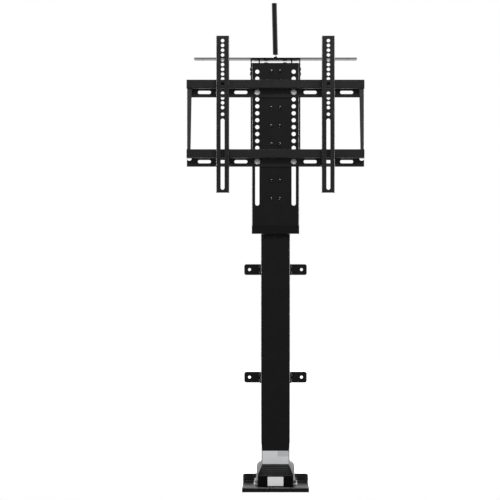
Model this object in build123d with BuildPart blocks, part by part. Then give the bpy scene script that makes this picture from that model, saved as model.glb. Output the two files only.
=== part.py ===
from build123d import *
import os
from math import cos, radians, sin

os.makedirs("parts", exist_ok=True)

# Column lift that raises a flat screen out of a cabinet, shown fully raised.
# Millimetres, +Z up, the front faces -Y. The origin is on the floor, at the middle of
# the base tray. A "half" is measured from the middle plane, a "place" along Y from it.

# Gaps between mating pieces
slide_gap = 0.3
fit_gap = 0.1
running_gap = 0.05
overrun = 20

# Base tray
base_width = 182
base_front_margin = 14.5
base_sheet = 3
deck_height = 12.5
base_flange_height = 32
base_flange_corner = 6
base_bend_radius = 2.5

# Fasteners, by thread
m8_shank_radius = 4
m8_hole_radius = 4.5
m8_flats = 13
m8_head_height = 5.5
m8_nut_height = 6.5
m8_flange_radius = 8.1
m8_flange_height = 1.6
m6_shank_radius = 3
m6_hole_radius = 3.3
m6_flats = 10
m6_head_height = 4
m6_flange_radius = 6
m6_flange_height = 1
m5_shank_radius = 2.5
m5_hole_radius = 2.7
m5_head_radius = 4.75
m5_head_height = 2.75
m5_low_head_height = 1.7
m5_flats = 8
m5_nut_height = 4
m4_shank_radius = 2
m4_hole_radius = 2.2
m4_head_radius = 3.8
m4_head_height = 2.4
socket_depth = 1.4
socket_share = 0.55

# Foot bolts
foot_bolt_side_reach = 11
foot_bolt_front_reach = 39.5
foot_bolt_rear_reach = 13.5

# Outer column tube
tube_width = 80
tube_depth = 56
tube_wall = 2
tube_corner = 3
tube_bottom = 65
tube_top = 689.5
tongue_inset = 3.5
notch_shoulder = 106
notch_top = 124

# Foot casting
casting_gap = 0.3
neck_inset = 0.7
plug_inset = 3.3
cheek_top = 118
casting_top = 120
flare_foot_reach = 13.5
flare_knee_height = 30
flare_shoulder_reach = 11.2
flare_top = 72.5
flare_shoulder_radius = 12
flare_depth = 29
ear_thickness = 3
ear_radius = 8.5
motor_bore_wall = 6

# Column screws through the rear of the tube into the casting
column_screw_inset = 14
column_screw_heights = (76, 98)
column_screw_length = 9

# Rating plate
rating_width = 72.4
rating_bottom = 66
rating_top = 102.5
label_thickness = 0.3
label_corner = 1.5

# Foot cover
cover_front_half = 49.3
cover_rear_half = 36.7
cover_length = 61.2
cover_front_height = 43
cover_rear_height = 64.8
cover_wall = 2
cover_corner = 3
cover_rib_count = 5
cover_rib_width = 2.4
cover_rib_proud = 0.9
cover_rib_margin = 4
cover_post_radius = 4
cover_post_front_half = 40
cover_post_front_inset = 9
cover_post_rear_half = 29
cover_post_rear_inset = 7
cover_screw_length = 12
cover_label_width = 42.8
cover_label_bottom = 15
cover_label_top = 39.8

# Control board and the socket block at its edge
board_width = 60
board_depth = 38
board_thickness = 1.6
board_front_inset = 8
board_height = 20
board_post_radius = 3
board_post_inset = 4
relay_width = 16
relay_depth = 12
relay_height = 11
relay_spacing = 20
capacitor_radius = 4
capacitor_height = 10
capacitor_spacing = 11
chip_width = 12
chip_depth = 9
chip_height = 2
socket_block_width = 30
socket_block_height = 11
socket_block_depth = 12
socket_proud = 0.8
socket_hole_radius = 3
socket_hole_depth = 8
socket_hole_spacing = 12

# Gear motor
motor_seat_height = 5.5
motor_gap = 2
motor_wall = 1.5
motor_cap_height = 8
motor_can_height = 60
gearbox_flange_side_inset = 10
gearbox_flange_rear_inset = 6
gearbox_flange_thickness = 4
gearbox_flange_corner = 5
gearbox_wall = 3
gearbox_screw_side_inset = 5
gearbox_screw_rear_inset = 6
gearbox_screw_length = 14
gearbox_throat_radius = 7
bearing_cup_radius = 17
bearing_cup_height = 10
bearing_radius = 14
bearing_height = 8
bearing_floor = 1.2

# Spindle, its coupling, the nut and the push tube
spindle_radius = 6
spindle_bottom = 100
spindle_top = 692
coupling_radius = 10
coupling_height = 16
nut_flange_radius = 13
nut_flange_height = 10
nut_body_height = 20
push_tube_radius = 11
push_tube_wall = 2.5
push_tube_bottom = 665

# Inner column tube, its guides and the top cap
inner_side_room = 6
inner_rear_room = 5
inner_wall = 2
inner_corner = 4
inner_bottom = 585
inner_top = 1160
glide_height = 40
glide_lip = 3
glide_lip_wall = 4
collar_rim_height = 10.5
collar_liner_height = 45
collar_round = 1.5
cap_thickness = 6.5
cap_bolt_inset = 8
cap_bolt_reach = 12.5

# Hanging carriage
carriage_width = 130
carriage_standoff = 17
carriage_sheet = 2.5
carriage_flange_depth = 28.5
carriage_bend_radius = 5
carriage_bottom = 700
carriage_lip_height = 23
carriage_lip_setback = 6
carriage_top_flange_half = 60
carriage_top_flange_length = 63
carriage_hole_half = 50
carriage_hole_radius = 5.75
carriage_hole_top = 1144.8
carriage_hole_pitch = 19
carriage_hole_count = 13
carriage_slot_bottom = 777.4
upper_rail_hole_count = 3
lower_rail_hole_count = 13

# Stiffener behind the carriage, and its glide pad
stiffener_width = 56
stiffener_depth = 10
stiffener_sheet = 2.5
stiffener_bottom = 770
stiffener_top = 1154
stiffener_screw_half = 11.7
stiffener_screw_heights = (1145.6, 1045.6, 995.6, 945.6, 845.6, 795.6)
stiffener_screw_length = 9.5
pad_width = 44
pad_bottom = 777
pad_height = 38

# Cross rails
rail_length = 486
rail_sheet = 2.5
rail_web_below_bolt = 13.8
rail_shelf_above_bolt = 9
rail_lip_above_bolt = 33
rail_lip_reach = 19.5
rail_fold_radius = 3.5
rail_inner_radius = 0.8
rail_slot_length = 36
rail_slot_width = 9
rail_slot_shares = (0.391, 0.5967, 0.8025)
rail_notch_radius = 6.5
rail_notch_inset = 6.5
rail_web_tuck = 3

# Side bars between the rails
side_bar_inset = 1
side_bar_width = 13
side_bar_foot_width = 9.5
side_bar_sheet = 2
side_bar_setback = 1
side_bar_depth = 12.5

# TV arms
arm_half = 143.75
arm_width = 35
arm_sheet = 2.5
arm_reach = 22
arm_depth = 34
arm_bend_radius = 3.5
arm_bottom = 811.3
arm_top = 1237.9
arm_hole_radius = 4.7
arm_hole_first = 1224.6
arm_hole_pitch = 13
arm_hole_count = 15
arm_extra_hole_drop = 200
arm_slot_width = 10.5
arm_slot_top = 1012.9
arm_slot_end_drop = 400
hook_gap = 0.2
hook_side_gap = 0.6
hook_height = 17
hook_tail_depth = 7
hook_tail_drop = 20.5
lock_tab_height = 21
lock_bolt_inset = 28.5
lock_bolt_below_rail = 8.8
lock_bolt_end = 1.5

# Lid plate, its legs and stop pins
lid_width = 448
lid_depth = 48
lid_reach = 3.5
lid_thickness = 2.5
lid_underside = 1180.5
lid_corner = 5
lid_hole_radius = 2.75
lid_hole_half = 200
lid_hole_reach = 12
leg_thickness = 3
leg_depth = 20
leg_setback = 3.5
leg_bottom = 905
leg_slot_width = 6
leg_bridge_thickness = 3
leg_slot_bottom = 985
leg_screw_heights = (1153, 1140)
leg_screw_inset = 10
stop_pin_radius = 1.8
stop_pin_half = 44.6
stop_pin_inset = 18.5

# Push rod on the lid plate
rod_inset = 24
rod_lean = 1.3
rod_length = 152.7
rod_sleeve_radius = 7
rod_sleeve_bore_depth = 45
rod_sleeve_round = 1.2
rod_tip_hole_radius = 2.5
rod_tip_hole_depth = 4
rod_washer_radius = 6.6
rod_washer_height = 4
rod_nut_height = 6
rod_nut_bore_radius = 4.4

# Wall brackets
bracket_heights = {"lower": 301, "upper": 601}
bracket_height = 30
bracket_sheet = 3
bracket_half = 87
bracket_leg_depth = 24.5
bracket_corner = 6
bracket_hole_half = 72.4
bracket_hole_radius = 4.1
bracket_screw_inset = 8
bracket_screw_rise = 8
bracket_screw_length = 4.6

sides = {"left": -1, "right": 1}

# Places that follow from the sizes
base_depth = base_sheet + tube_depth + slide_gap + cover_length + base_front_margin
column_rear = base_depth / 2 - base_sheet
tube_front = column_rear - tube_depth
tube_half = tube_width / 2
foot_bolt_half = tube_half + foot_bolt_side_reach
tongue_half = tube_half - tongue_inset
neck_half = tube_half - neck_inset
plug_half = tube_half - plug_inset
flare_foot_half = tube_half + flare_foot_reach
flare_shoulder_half = tube_half + flare_shoulder_reach
column_screw_half = tube_half - column_screw_inset
motor_bore_radius = tube_depth / 2 - motor_bore_wall
motor_radius = motor_bore_radius - motor_gap
gearbox_flange_width = tube_width - 2 * gearbox_flange_side_inset
gearbox_flange_depth = tube_depth - 2 * gearbox_flange_rear_inset
gearbox_screw_half = gearbox_flange_width / 2 - gearbox_screw_side_inset
gearbox_screw_reach = gearbox_flange_depth / 2 - gearbox_screw_rear_inset
inner_width = tube_width - 2 * inner_side_room
inner_depth = tube_depth - 2 * inner_rear_room
cap_bolt_half = inner_width / 2 - cap_bolt_inset
column_place = (tube_front + column_rear) / 2
casting_front = tube_front + tube_wall + casting_gap
casting_rear = column_rear - tube_wall - casting_gap
flare_rear = casting_front + flare_depth
cover_front = tube_front - slide_gap - cover_length
cover_rear = tube_front - slide_gap
cover_middle = (cover_front + cover_rear) / 2
bearing_bottom = casting_top + gearbox_flange_thickness + bearing_floor
collar_top = tube_top + collar_rim_height
cap_top = inner_top + cap_thickness
carriage_top = cap_top + carriage_sheet
carriage_front = tube_front - carriage_standoff
carriage_web_rear = carriage_front + carriage_sheet
carriage_top_flange_rear = carriage_web_rear + carriage_top_flange_length
carriage_rear = carriage_front + carriage_flange_depth
carriage_half = carriage_width / 2
stiffener_web_rear = carriage_web_rear + stiffener_sheet
upper_bolt_height = carriage_hole_top - upper_rail_hole_count * carriage_hole_pitch
lower_bolt_height = carriage_hole_top - lower_rail_hole_count * carriage_hole_pitch
rail_bolt_heights = {"lower": lower_bolt_height, "upper": upper_bolt_height}
rail_front = carriage_front - rail_sheet
rail_lip_front = carriage_front - rail_lip_reach
rail_lip_rear = rail_lip_front + rail_sheet
rail_slot_halves = [share * rail_length / 2 for share in rail_slot_shares]
rail_notch_half = rail_length / 2 - rail_notch_inset
side_bar_outer_half = rail_length / 2 - side_bar_inset
side_bar_front = rail_lip_rear + side_bar_setback
arm_hook_front = rail_lip_front - hook_side_gap
arm_front = rail_lip_front - arm_reach
arm_rear = arm_front + arm_depth
lock_bolt_place = arm_front + lock_bolt_inset
lock_bolt_height = lower_bolt_height - lock_bolt_below_rail
lid_top = lid_underside + lid_thickness
bridge_underside = lid_underside - leg_bridge_thickness
lid_front = carriage_front - lid_reach
rod_place = lid_front + rod_inset
lid_hole_places = (rod_place - lid_hole_reach, rod_place + lid_hole_reach)
stop_pin_place = carriage_front + stop_pin_inset
leg_front = carriage_front + leg_setback
leg_screw_place = leg_front + leg_screw_inset
leg_inner_half = carriage_half + slide_gap
leg_outer_half = leg_inner_half + leg_thickness

foot_bolt_front_place = column_place - foot_bolt_front_reach
foot_bolt_rear_place = column_place + foot_bolt_rear_reach
cap_bolt_front_place = column_place - cap_bolt_reach
cap_bolt_rear_place = column_place + cap_bolt_reach

foot_bolt_places = [
    (side * foot_bolt_half, place)
    for side in sides.values()
    for place in (foot_bolt_front_place, foot_bolt_rear_place)
]


def facing_front(place):
    """Plane across the lift at a place along Y. Its extrusions grow towards the front."""
    return Plane.XZ.offset(-place)


def both_sides(half, heights):
    """Points left and right of the middle at each height."""
    return [(side * half, height) for side in sides.values() for height in heights]


def mirrored_outline(right_points):
    """Closed outline whose left half mirrors the points of its right half."""
    return right_points + [(-across, up) for across, up in reversed(right_points)]


def hex_bolt(flats, head_height, flange_radius, flange_height, shank_radius, shank_length):
    """Flanged hex bolt, seated on Z = 0 with its shank below."""
    with BuildPart() as bolt:
        with BuildSketch(Plane.XY):
            Circle(flange_radius)
        extrude(amount=flange_height)
        with BuildSketch(Plane.XY.offset(flange_height)):
            RegularPolygon(flats / 2, 6, major_radius=False)
        extrude(amount=head_height)
        with BuildSketch(Plane.XY):
            Circle(shank_radius)
        extrude(amount=-shank_length)
    return bolt.part


def hex_nut(flats, height, bore_radius):
    """Hex nut standing on Z = 0."""
    with BuildPart() as nut:
        with BuildSketch(Plane.XY):
            RegularPolygon(flats / 2, 6, major_radius=False)
            Circle(bore_radius, mode=Mode.SUBTRACT)
        extrude(amount=height)
    return nut.part


def button_screw(head_radius, head_height, shank_radius, shank_length):
    """Round headed socket screw, seated on Z = 0 with its shank below."""
    with BuildPart() as screw:
        with BuildSketch(Plane.XY):
            Circle(head_radius)
        extrude(amount=head_height)
        fillet(screw.edges().sort_by(Axis.Z)[-1], head_height * socket_share)
        with BuildSketch(Plane.XY.offset(head_height)):
            RegularPolygon(head_radius * socket_share, 6)
        extrude(amount=-socket_depth, mode=Mode.SUBTRACT)
        with BuildSketch(Plane.XY):
            Circle(shank_radius)
        extrude(amount=-shank_length)
    return screw.part


def turned_to_front(places):
    """Spots whose local +Z points to the front."""
    return [Location(place, (90, 0, 0)) for place in places]


# Base tray: one folded sheet. Front and side lips stand on the floor, the rear edge is
# folded up behind the column.
with BuildPart() as base_plate:
    with BuildSketch(Plane.XY):
        Rectangle(base_width, base_depth)
    extrude(amount=deck_height)
    lip_edges = base_plate.edges().group_by(Axis.Z)[-1].sort_by(Axis.Y)[:-1]
    fillet(lip_edges, base_bend_radius)
    with BuildSketch(Plane.XY):
        with Locations((0, base_sheet)):
            Rectangle(base_width - 2 * base_sheet, base_depth)
    extrude(amount=deck_height - base_sheet, mode=Mode.SUBTRACT)
    with BuildSketch(facing_front(base_depth / 2)) as rear_flange:
        with Locations((0, (deck_height - base_sheet + base_flange_height) / 2)):
            Rectangle(base_width, base_flange_height - deck_height + base_sheet)
        fillet(rear_flange.vertices().group_by(Axis.Y)[-1], base_flange_corner)
    extrude(amount=base_sheet)
    with BuildSketch(Plane.XY.offset(deck_height)):
        with Locations(*foot_bolt_places):
            Circle(m8_hole_radius)
    extrude(amount=-deck_height, mode=Mode.SUBTRACT)
    with BuildSketch(Plane.XY.offset(deck_height)):
        with Locations(*both_sides(cover_post_front_half, [cover_front + cover_post_front_inset])):
            Circle(m4_hole_radius)
        with Locations(*both_sides(cover_post_rear_half, [cover_rear - cover_post_rear_inset])):
            Circle(m4_hole_radius)
    extrude(amount=-deck_height, mode=Mode.SUBTRACT)
base_plate.part.label = "base_plate"
export_step(base_plate.part, "parts/base_plate.step")

# Foot casting: flared cheeks on the tray, a neck that fills the notches of the tube, a plug
# inside the tube, four bolt ears and a bore for the motor.
flare_points = [
    (flare_foot_half, deck_height),
    (flare_foot_half, flare_knee_height),
    (flare_shoulder_half, flare_top),
]
neck_points = [
    (neck_half, deck_height),
    (neck_half, cheek_top),
    (plug_half, notch_shoulder - fit_gap),
    (plug_half, casting_top),
]
with BuildPart() as foot_casting:
    with BuildSketch(facing_front(flare_rear)) as flare:
        with BuildLine():
            Polyline(*mirrored_outline(flare_points), close=True)
        make_face()
        fillet(flare.vertices().group_by(Axis.Y)[-1], flare_shoulder_radius)
    extrude(amount=flare_depth)
    with BuildSketch(facing_front(casting_rear)):
        with BuildLine():
            Polyline(*mirrored_outline(neck_points), close=True)
        make_face()
    extrude(amount=casting_rear - casting_front)
    with BuildSketch(Plane.XY.offset(deck_height)):
        with Locations(*foot_bolt_places):
            Circle(ear_radius)
        for side in sides.values():
            with Locations((side * foot_bolt_half, (foot_bolt_front_place + foot_bolt_rear_place) / 2)):
                Rectangle(2 * ear_radius, foot_bolt_rear_place - foot_bolt_front_place)
    extrude(amount=ear_thickness)
    with BuildSketch(Plane.XY.offset(deck_height)):
        with Locations((0, column_place)):
            Circle(motor_bore_radius)
    extrude(amount=casting_top, mode=Mode.SUBTRACT)
    with BuildSketch(Plane.XY.offset(deck_height)):
        with Locations(*foot_bolt_places):
            Circle(m8_hole_radius)
    extrude(amount=ear_thickness, mode=Mode.SUBTRACT)
    with BuildSketch(Plane.XY.offset(casting_top)):
        with Locations((0, column_place)):
            with GridLocations(2 * gearbox_screw_half, 2 * gearbox_screw_reach, 2, 2):
                Circle(m4_hole_radius)
    extrude(amount=-gearbox_screw_length, mode=Mode.SUBTRACT)
    with BuildSketch(facing_front(casting_rear)):
        with Locations(*both_sides(column_screw_half, column_screw_heights)):
            Circle(m5_hole_radius)
    extrude(amount=column_screw_length, mode=Mode.SUBTRACT)
foot_casting.part.label = "foot_casting"
export_step(foot_casting.part, "parts/foot_casting.step")

# Foot bolts and the nuts under the deck
foot_bolt = hex_bolt(
    m8_flats,
    m8_head_height,
    m8_flats / 2,
    m8_flange_height,
    m8_shank_radius,
    ear_thickness + base_sheet + m8_nut_height,
)
with BuildPart() as foot_bolts:
    seat = deck_height + ear_thickness
    with Locations(*[(across, place, seat) for across, place in foot_bolt_places]):
        add(foot_bolt)
foot_bolts.part.label = "foot_bolts"
export_step(foot_bolts.part, "parts/foot_bolts.step")

with BuildPart() as foot_nuts:
    nut_floor = deck_height - base_sheet - m8_nut_height
    with Locations(*[(across, place, nut_floor) for across, place in foot_bolt_places]):
        add(hex_nut(m8_flats, m8_nut_height, m8_shank_radius + fit_gap))
foot_nuts.part.label = "foot_nuts"
export_step(foot_nuts.part, "parts/foot_nuts.step")

# Outer column tube: its side walls are notched at the foot, so that a narrower tongue is
# left at the front and at the rear.
bracket_screw_places = [
    (column_rear - bracket_leg_depth + bracket_screw_inset, middle + rise)
    for middle in bracket_heights.values()
    for rise in (-bracket_screw_rise, bracket_screw_rise)
]
with BuildPart() as outer_tube:
    with BuildSketch(Plane.XY.offset(tube_bottom)):
        with Locations((0, column_place)):
            RectangleRounded(tube_width, tube_depth, tube_corner)
            RectangleRounded(
                tube_width - 2 * tube_wall,
                tube_depth - 2 * tube_wall,
                tube_corner - tube_wall,
                mode=Mode.SUBTRACT,
            )
    extrude(amount=tube_top - tube_bottom)
    with BuildSketch(facing_front(column_rear + overrun)):
        for side in sides.values():
            with BuildLine():
                straight = Line((side * tongue_half, 0), (side * tongue_half, notch_shoulder))
                curve = TangentArc(straight @ 1, (side * tube_half, notch_top), tangent=straight % 1)
                Polyline(
                    curve @ 1,
                    (side * (tube_half + overrun), notch_top),
                    (side * (tube_half + overrun), 0),
                    straight @ 0,
                )
            make_face()
    extrude(amount=tube_depth + 2 * overrun, mode=Mode.SUBTRACT)
    with BuildSketch(Plane.YZ.offset(-tube_half - overrun)):
        with Locations(*bracket_screw_places):
            Circle(m5_hole_radius)
    extrude(amount=tube_width + 2 * overrun, mode=Mode.SUBTRACT)
    with BuildSketch(facing_front(column_rear + overrun)):
        with Locations(*both_sides(column_screw_half, column_screw_heights)):
            Circle(m5_hole_radius)
    extrude(amount=overrun + 2 * tube_wall, mode=Mode.SUBTRACT)
outer_tube.part.label = "outer_tube"
export_step(outer_tube.part, "parts/outer_tube.step")

# Screws through the rear tongue into the casting
column_screw = button_screw(m5_head_radius, m5_head_height, m5_shank_radius, column_screw_length)
with BuildPart() as column_screws:
    spots = both_sides(column_screw_half, column_screw_heights)
    turned = [Location((across, column_rear, up), (-90, 0, 0)) for across, up in spots]
    with Locations(*turned):
        add(column_screw)
column_screws.part.label = "column_screws"
export_step(column_screws.part, "parts/column_screws.step")

# Guide collar: a rim on top of the outer tube, and a liner that guides the inner tube
with BuildPart() as guide_collar:
    with BuildSketch(Plane.XY.offset(tube_top)):
        with Locations((0, column_place)):
            RectangleRounded(tube_width, tube_depth, tube_corner)
    extrude(amount=collar_rim_height)
    fillet(guide_collar.faces().sort_by(Axis.Z)[-1].edges(), collar_round)
    with BuildSketch(Plane.XY.offset(tube_top)):
        with Locations((0, column_place)):
            RectangleRounded(
                tube_width - 2 * tube_wall - 2 * fit_gap,
                tube_depth - 2 * tube_wall - 2 * fit_gap,
                tube_corner - tube_wall,
            )
    extrude(amount=-collar_liner_height)
    with BuildSketch(Plane.XY.offset(collar_top)):
        with Locations((0, column_place)):
            RectangleRounded(
                inner_width + 2 * slide_gap,
                inner_depth + 2 * slide_gap,
                inner_corner + slide_gap,
            )
    extrude(amount=-collar_rim_height - collar_liner_height, mode=Mode.SUBTRACT)
guide_collar.part.label = "guide_collar"
export_step(guide_collar.part, "parts/guide_collar.step")

# Plain rating plate on the front of the column's foot
with BuildPart() as rating_label:
    with BuildSketch(facing_front(tube_front)):
        with Locations((0, (rating_bottom + rating_top) / 2)):
            RectangleRounded(rating_width, rating_top - rating_bottom, label_corner)
    extrude(amount=label_thickness)
rating_label.part.label = "rating_label"
export_step(rating_label.part, "parts/rating_label.step")


def cover_form(inset):
    """Solid foot cover, smaller on every side but its floor and rear by the inset."""
    front = cover_front + inset
    front_half = cover_front_half - inset
    rear_half = cover_rear_half - inset
    rise = (cover_rear_height - cover_front_height) * overrun / cover_length
    with BuildPart() as form:
        with BuildSketch(Plane.XY.offset(deck_height)):
            with BuildLine():
                Polyline(
                    (-front_half, front),
                    (front_half, front),
                    (rear_half, cover_rear),
                    (-rear_half, cover_rear),
                    close=True,
                )
            make_face()
        extrude(amount=cover_rear_height)
        with BuildSketch(Plane.YZ.offset(-cover_front_half - overrun)):
            with BuildLine():
                Polyline(
                    (cover_front - overrun, cover_front_height - inset - rise),
                    (cover_rear + overrun, cover_rear_height - inset + rise),
                    (cover_rear + overrun, 2 * cover_rear_height),
                    (cover_front - overrun, 2 * cover_rear_height),
                    close=True,
                )
            make_face()
        extrude(amount=2 * cover_front_half + 2 * overrun, mode=Mode.SUBTRACT)
        front_edges = form.faces().sort_by(Axis.Y)[0].edges().sort_by(Axis.Z)[1:]
        fillet(front_edges, cover_corner - inset)
    return form.part


cover_post_places = both_sides(
    cover_post_front_half, [cover_front + cover_post_front_inset]
) + both_sides(cover_post_rear_half, [cover_rear - cover_post_rear_inset])
with BuildPart() as cover_posts:
    with BuildSketch(Plane.XY.offset(deck_height)):
        with Locations(*cover_post_places):
            Circle(cover_post_radius)
    extrude(amount=cover_rear_height)
    add(cover_form(0), mode=Mode.INTERSECT)

# Foot cover: a thin moulded shell, wide at its front, with ribs across its sloping top,
# screw posts inside and a window for the socket block in its right wall.
side_wall_run = Vector(cover_rear_half - cover_front_half, cover_length, 0).normalized()
side_wall_out = side_wall_run.cross(Vector(0, 0, 1))
side_wall = Plane(
    origin=((cover_front_half + cover_rear_half) / 2, cover_middle, 0),
    x_dir=side_wall_run,
    z_dir=side_wall_out,
)
socket_middle = board_height + board_thickness + socket_block_height / 2
slope_run = Vector(0, cover_length, cover_rear_height - cover_front_height).normalized()
slope = Plane(
    origin=(0, cover_front, cover_front_height),
    x_dir=(1, 0, 0),
    z_dir=Vector(1, 0, 0).cross(slope_run),
)
slope_length = (cover_length**2 + (cover_rear_height - cover_front_height) ** 2) ** 0.5
with BuildPart() as control_cover:
    add(cover_form(0))
    add(cover_form(cover_wall), mode=Mode.SUBTRACT)
    add(cover_posts.part)
    with BuildSketch(slope):
        for number in range(1, cover_rib_count + 1):
            rib_share = number / (cover_rib_count + 1)
            half = cover_front_half + rib_share * (cover_rear_half - cover_front_half)
            with Locations((0, rib_share * slope_length)):
                Rectangle(2 * (half - cover_rib_margin), cover_rib_width)
    extrude(amount=cover_rib_proud)
    with BuildSketch(side_wall.offset(socket_proud)):
        with Locations((0, socket_middle)):
            Rectangle(socket_block_width + 2 * fit_gap, socket_block_height + 2 * fit_gap)
    extrude(amount=-socket_block_depth, mode=Mode.SUBTRACT)
    with BuildSketch(Plane.XY.offset(deck_height)):
        with Locations(*cover_post_places):
            Circle(m4_shank_radius + fit_gap)
    extrude(amount=cover_screw_length, mode=Mode.SUBTRACT)
control_cover.part.label = "control_cover"
export_step(control_cover.part, "parts/control_cover.step")

# Plain label on the cover's front face
with BuildPart() as cover_label:
    with BuildSketch(facing_front(cover_front)):
        with Locations((0, (cover_label_bottom + cover_label_top) / 2)):
            RectangleRounded(cover_label_width, cover_label_top - cover_label_bottom, label_corner)
    extrude(amount=label_thickness)
cover_label.part.label = "cover_label"
export_step(cover_label.part, "parts/cover_label.step")

# Cover screws, driven from below the deck
cover_screw = button_screw(
    m4_head_radius, m4_head_height, m4_shank_radius, base_sheet + cover_screw_length
)
with BuildPart() as cover_screws:
    deck_underside = deck_height - base_sheet
    turned = [
        Location((across, place, deck_underside), (180, 0, 0))
        for across, place in cover_post_places
    ]
    with Locations(*turned):
        add(cover_screw)
cover_screws.part.label = "cover_screws"
export_step(cover_screws.part, "parts/cover_screws.step")

# Control board with relays, capacitors and a chip, on four posts
board_place = cover_front + board_front_inset + board_depth / 2
board_top = board_height + board_thickness
with BuildPart() as board_posts:
    with BuildSketch(Plane.XY.offset(deck_height)):
        with Locations((0, board_place)):
            with GridLocations(
                board_width - 2 * board_post_inset, board_depth - 2 * board_post_inset, 2, 2
            ):
                Circle(board_post_radius)
    extrude(amount=board_height - deck_height)
board_posts.part.label = "board_posts"
export_step(board_posts.part, "parts/board_posts.step")

with BuildPart() as control_board:
    with BuildSketch(Plane.XY.offset(board_height)):
        with Locations((0, board_place)):
            Rectangle(board_width, board_depth)
    extrude(amount=board_thickness)
    with BuildSketch(Plane.XY.offset(board_top)):
        with Locations((-relay_width / 2, board_place)):
            with GridLocations(relay_spacing, relay_spacing, 1, 2):
                Rectangle(relay_width, relay_depth)
    extrude(amount=relay_height)
    with BuildSketch(Plane.XY.offset(board_top)):
        with Locations((-relay_width - capacitor_radius * 2, board_place)):
            with GridLocations(capacitor_spacing, capacitor_spacing, 1, 3):
                Circle(capacitor_radius)
    extrude(amount=capacitor_height)
    with BuildSketch(Plane.XY.offset(board_top)):
        with Locations((chip_width, board_place)):
            Rectangle(chip_width, chip_depth)
    extrude(amount=chip_height)
control_board.part.label = "control_board"
export_step(control_board.part, "parts/control_board.step")

# Socket block on the board's edge, looking out of the cover's right wall
with BuildPart() as socket_block:
    with BuildSketch(side_wall.offset(socket_proud)):
        with Locations((0, socket_middle)):
            Rectangle(socket_block_width, socket_block_height)
    extrude(amount=-socket_block_depth)
    with BuildSketch(side_wall.offset(socket_proud)):
        with Locations((0, socket_middle)):
            with GridLocations(socket_hole_spacing, socket_hole_spacing, 2, 1):
                Circle(socket_hole_radius)
    extrude(amount=-socket_hole_depth, mode=Mode.SUBTRACT)
socket_block.part.label = "socket_block"
export_step(socket_block.part, "parts/socket_block.step")

# Gear motor standing in the casting: seat, end cap, can and gearbox
seat_top = deck_height + motor_seat_height
cap_end_top = seat_top + motor_cap_height
can_top = cap_end_top + motor_can_height
with BuildPart() as motor_seat:
    with BuildSketch(Plane.XY.offset(deck_height)):
        with Locations((0, column_place)):
            Circle(motor_bore_radius - slide_gap)
    extrude(amount=motor_seat_height)
motor_seat.part.label = "motor_seat"
export_step(motor_seat.part, "parts/motor_seat.step")

with BuildPart() as motor_end_cap:
    with BuildSketch(Plane.XY.offset(seat_top)):
        with Locations((0, column_place)):
            Circle(motor_radius)
    extrude(amount=motor_cap_height)
    chamfer(motor_end_cap.faces().sort_by(Axis.Z)[0].edges(), motor_wall)
motor_end_cap.part.label = "motor_end_cap"
export_step(motor_end_cap.part, "parts/motor_end_cap.step")

with BuildPart() as motor_can:
    with BuildSketch(Plane.XY.offset(cap_end_top)):
        with Locations((0, column_place)):
            Circle(motor_radius)
            Circle(motor_radius - motor_wall, mode=Mode.SUBTRACT)
    extrude(amount=motor_can_height)
motor_can.part.label = "motor_can"
export_step(motor_can.part, "parts/motor_can.step")

with BuildPart() as gearbox_housing:
    with BuildSketch(Plane.XY.offset(can_top)):
        with Locations((0, column_place)):
            Circle(motor_radius)
    extrude(amount=casting_top - can_top)
    with BuildSketch(Plane.XY.offset(casting_top)):
        with Locations((0, column_place)):
            RectangleRounded(gearbox_flange_width, gearbox_flange_depth, gearbox_flange_corner)
    extrude(amount=gearbox_flange_thickness)
    with BuildSketch(Plane.XY.offset(casting_top)):
        with Locations((0, column_place)):
            Circle(bearing_cup_radius)
    extrude(amount=gearbox_flange_thickness + bearing_cup_height)
    with BuildSketch(Plane.XY.offset(can_top + gearbox_wall)):
        with Locations((0, column_place)):
            Circle(motor_radius - gearbox_wall)
    extrude(amount=casting_top - can_top - gearbox_wall, mode=Mode.SUBTRACT)
    with BuildSketch(Plane.XY.offset(casting_top)):
        with Locations((0, column_place)):
            Circle(gearbox_throat_radius)
    extrude(amount=gearbox_flange_thickness + bearing_cup_height, mode=Mode.SUBTRACT)
    with BuildSketch(Plane.XY.offset(bearing_bottom)):
        with Locations((0, column_place)):
            Circle(bearing_radius + running_gap)
    extrude(amount=bearing_cup_height, mode=Mode.SUBTRACT)
    with BuildSketch(Plane.XY.offset(casting_top)):
        with Locations((0, column_place)):
            with GridLocations(2 * gearbox_screw_half, 2 * gearbox_screw_reach, 2, 2):
                Circle(m4_hole_radius)
    extrude(amount=gearbox_flange_thickness, mode=Mode.SUBTRACT)
gearbox_housing.part.label = "gearbox_housing"
export_step(gearbox_housing.part, "parts/gearbox_housing.step")

gearbox_screw = button_screw(
    m4_head_radius, m4_head_height, m4_shank_radius, gearbox_screw_length
)
with BuildPart() as gearbox_screws:
    with Locations((0, column_place, casting_top + gearbox_flange_thickness)):
        with GridLocations(2 * gearbox_screw_half, 2 * gearbox_screw_reach, 2, 2):
            add(gearbox_screw)
gearbox_screws.part.label = "gearbox_screws"
export_step(gearbox_screws.part, "parts/gearbox_screws.step")

with BuildPart() as spindle_bearing:
    with BuildSketch(Plane.XY.offset(bearing_bottom)):
        with Locations((0, column_place)):
            Circle(bearing_radius)
            Circle(spindle_radius + running_gap, mode=Mode.SUBTRACT)
    extrude(amount=bearing_height)
spindle_bearing.part.label = "spindle_bearing"
export_step(spindle_bearing.part, "parts/spindle_bearing.step")

# Lift spindle with the coupling that the gearbox turns
with BuildPart() as spindle:
    with BuildSketch(Plane.XY.offset(spindle_bottom)):
        with Locations((0, column_place)):
            Circle(spindle_radius)
    extrude(amount=spindle_top - spindle_bottom)
    chamfer(spindle.faces().sort_by(Axis.Z)[-1].edges(), spindle_radius * socket_share / 2)
spindle.part.label = "spindle"
export_step(spindle.part, "parts/spindle.step")

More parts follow.
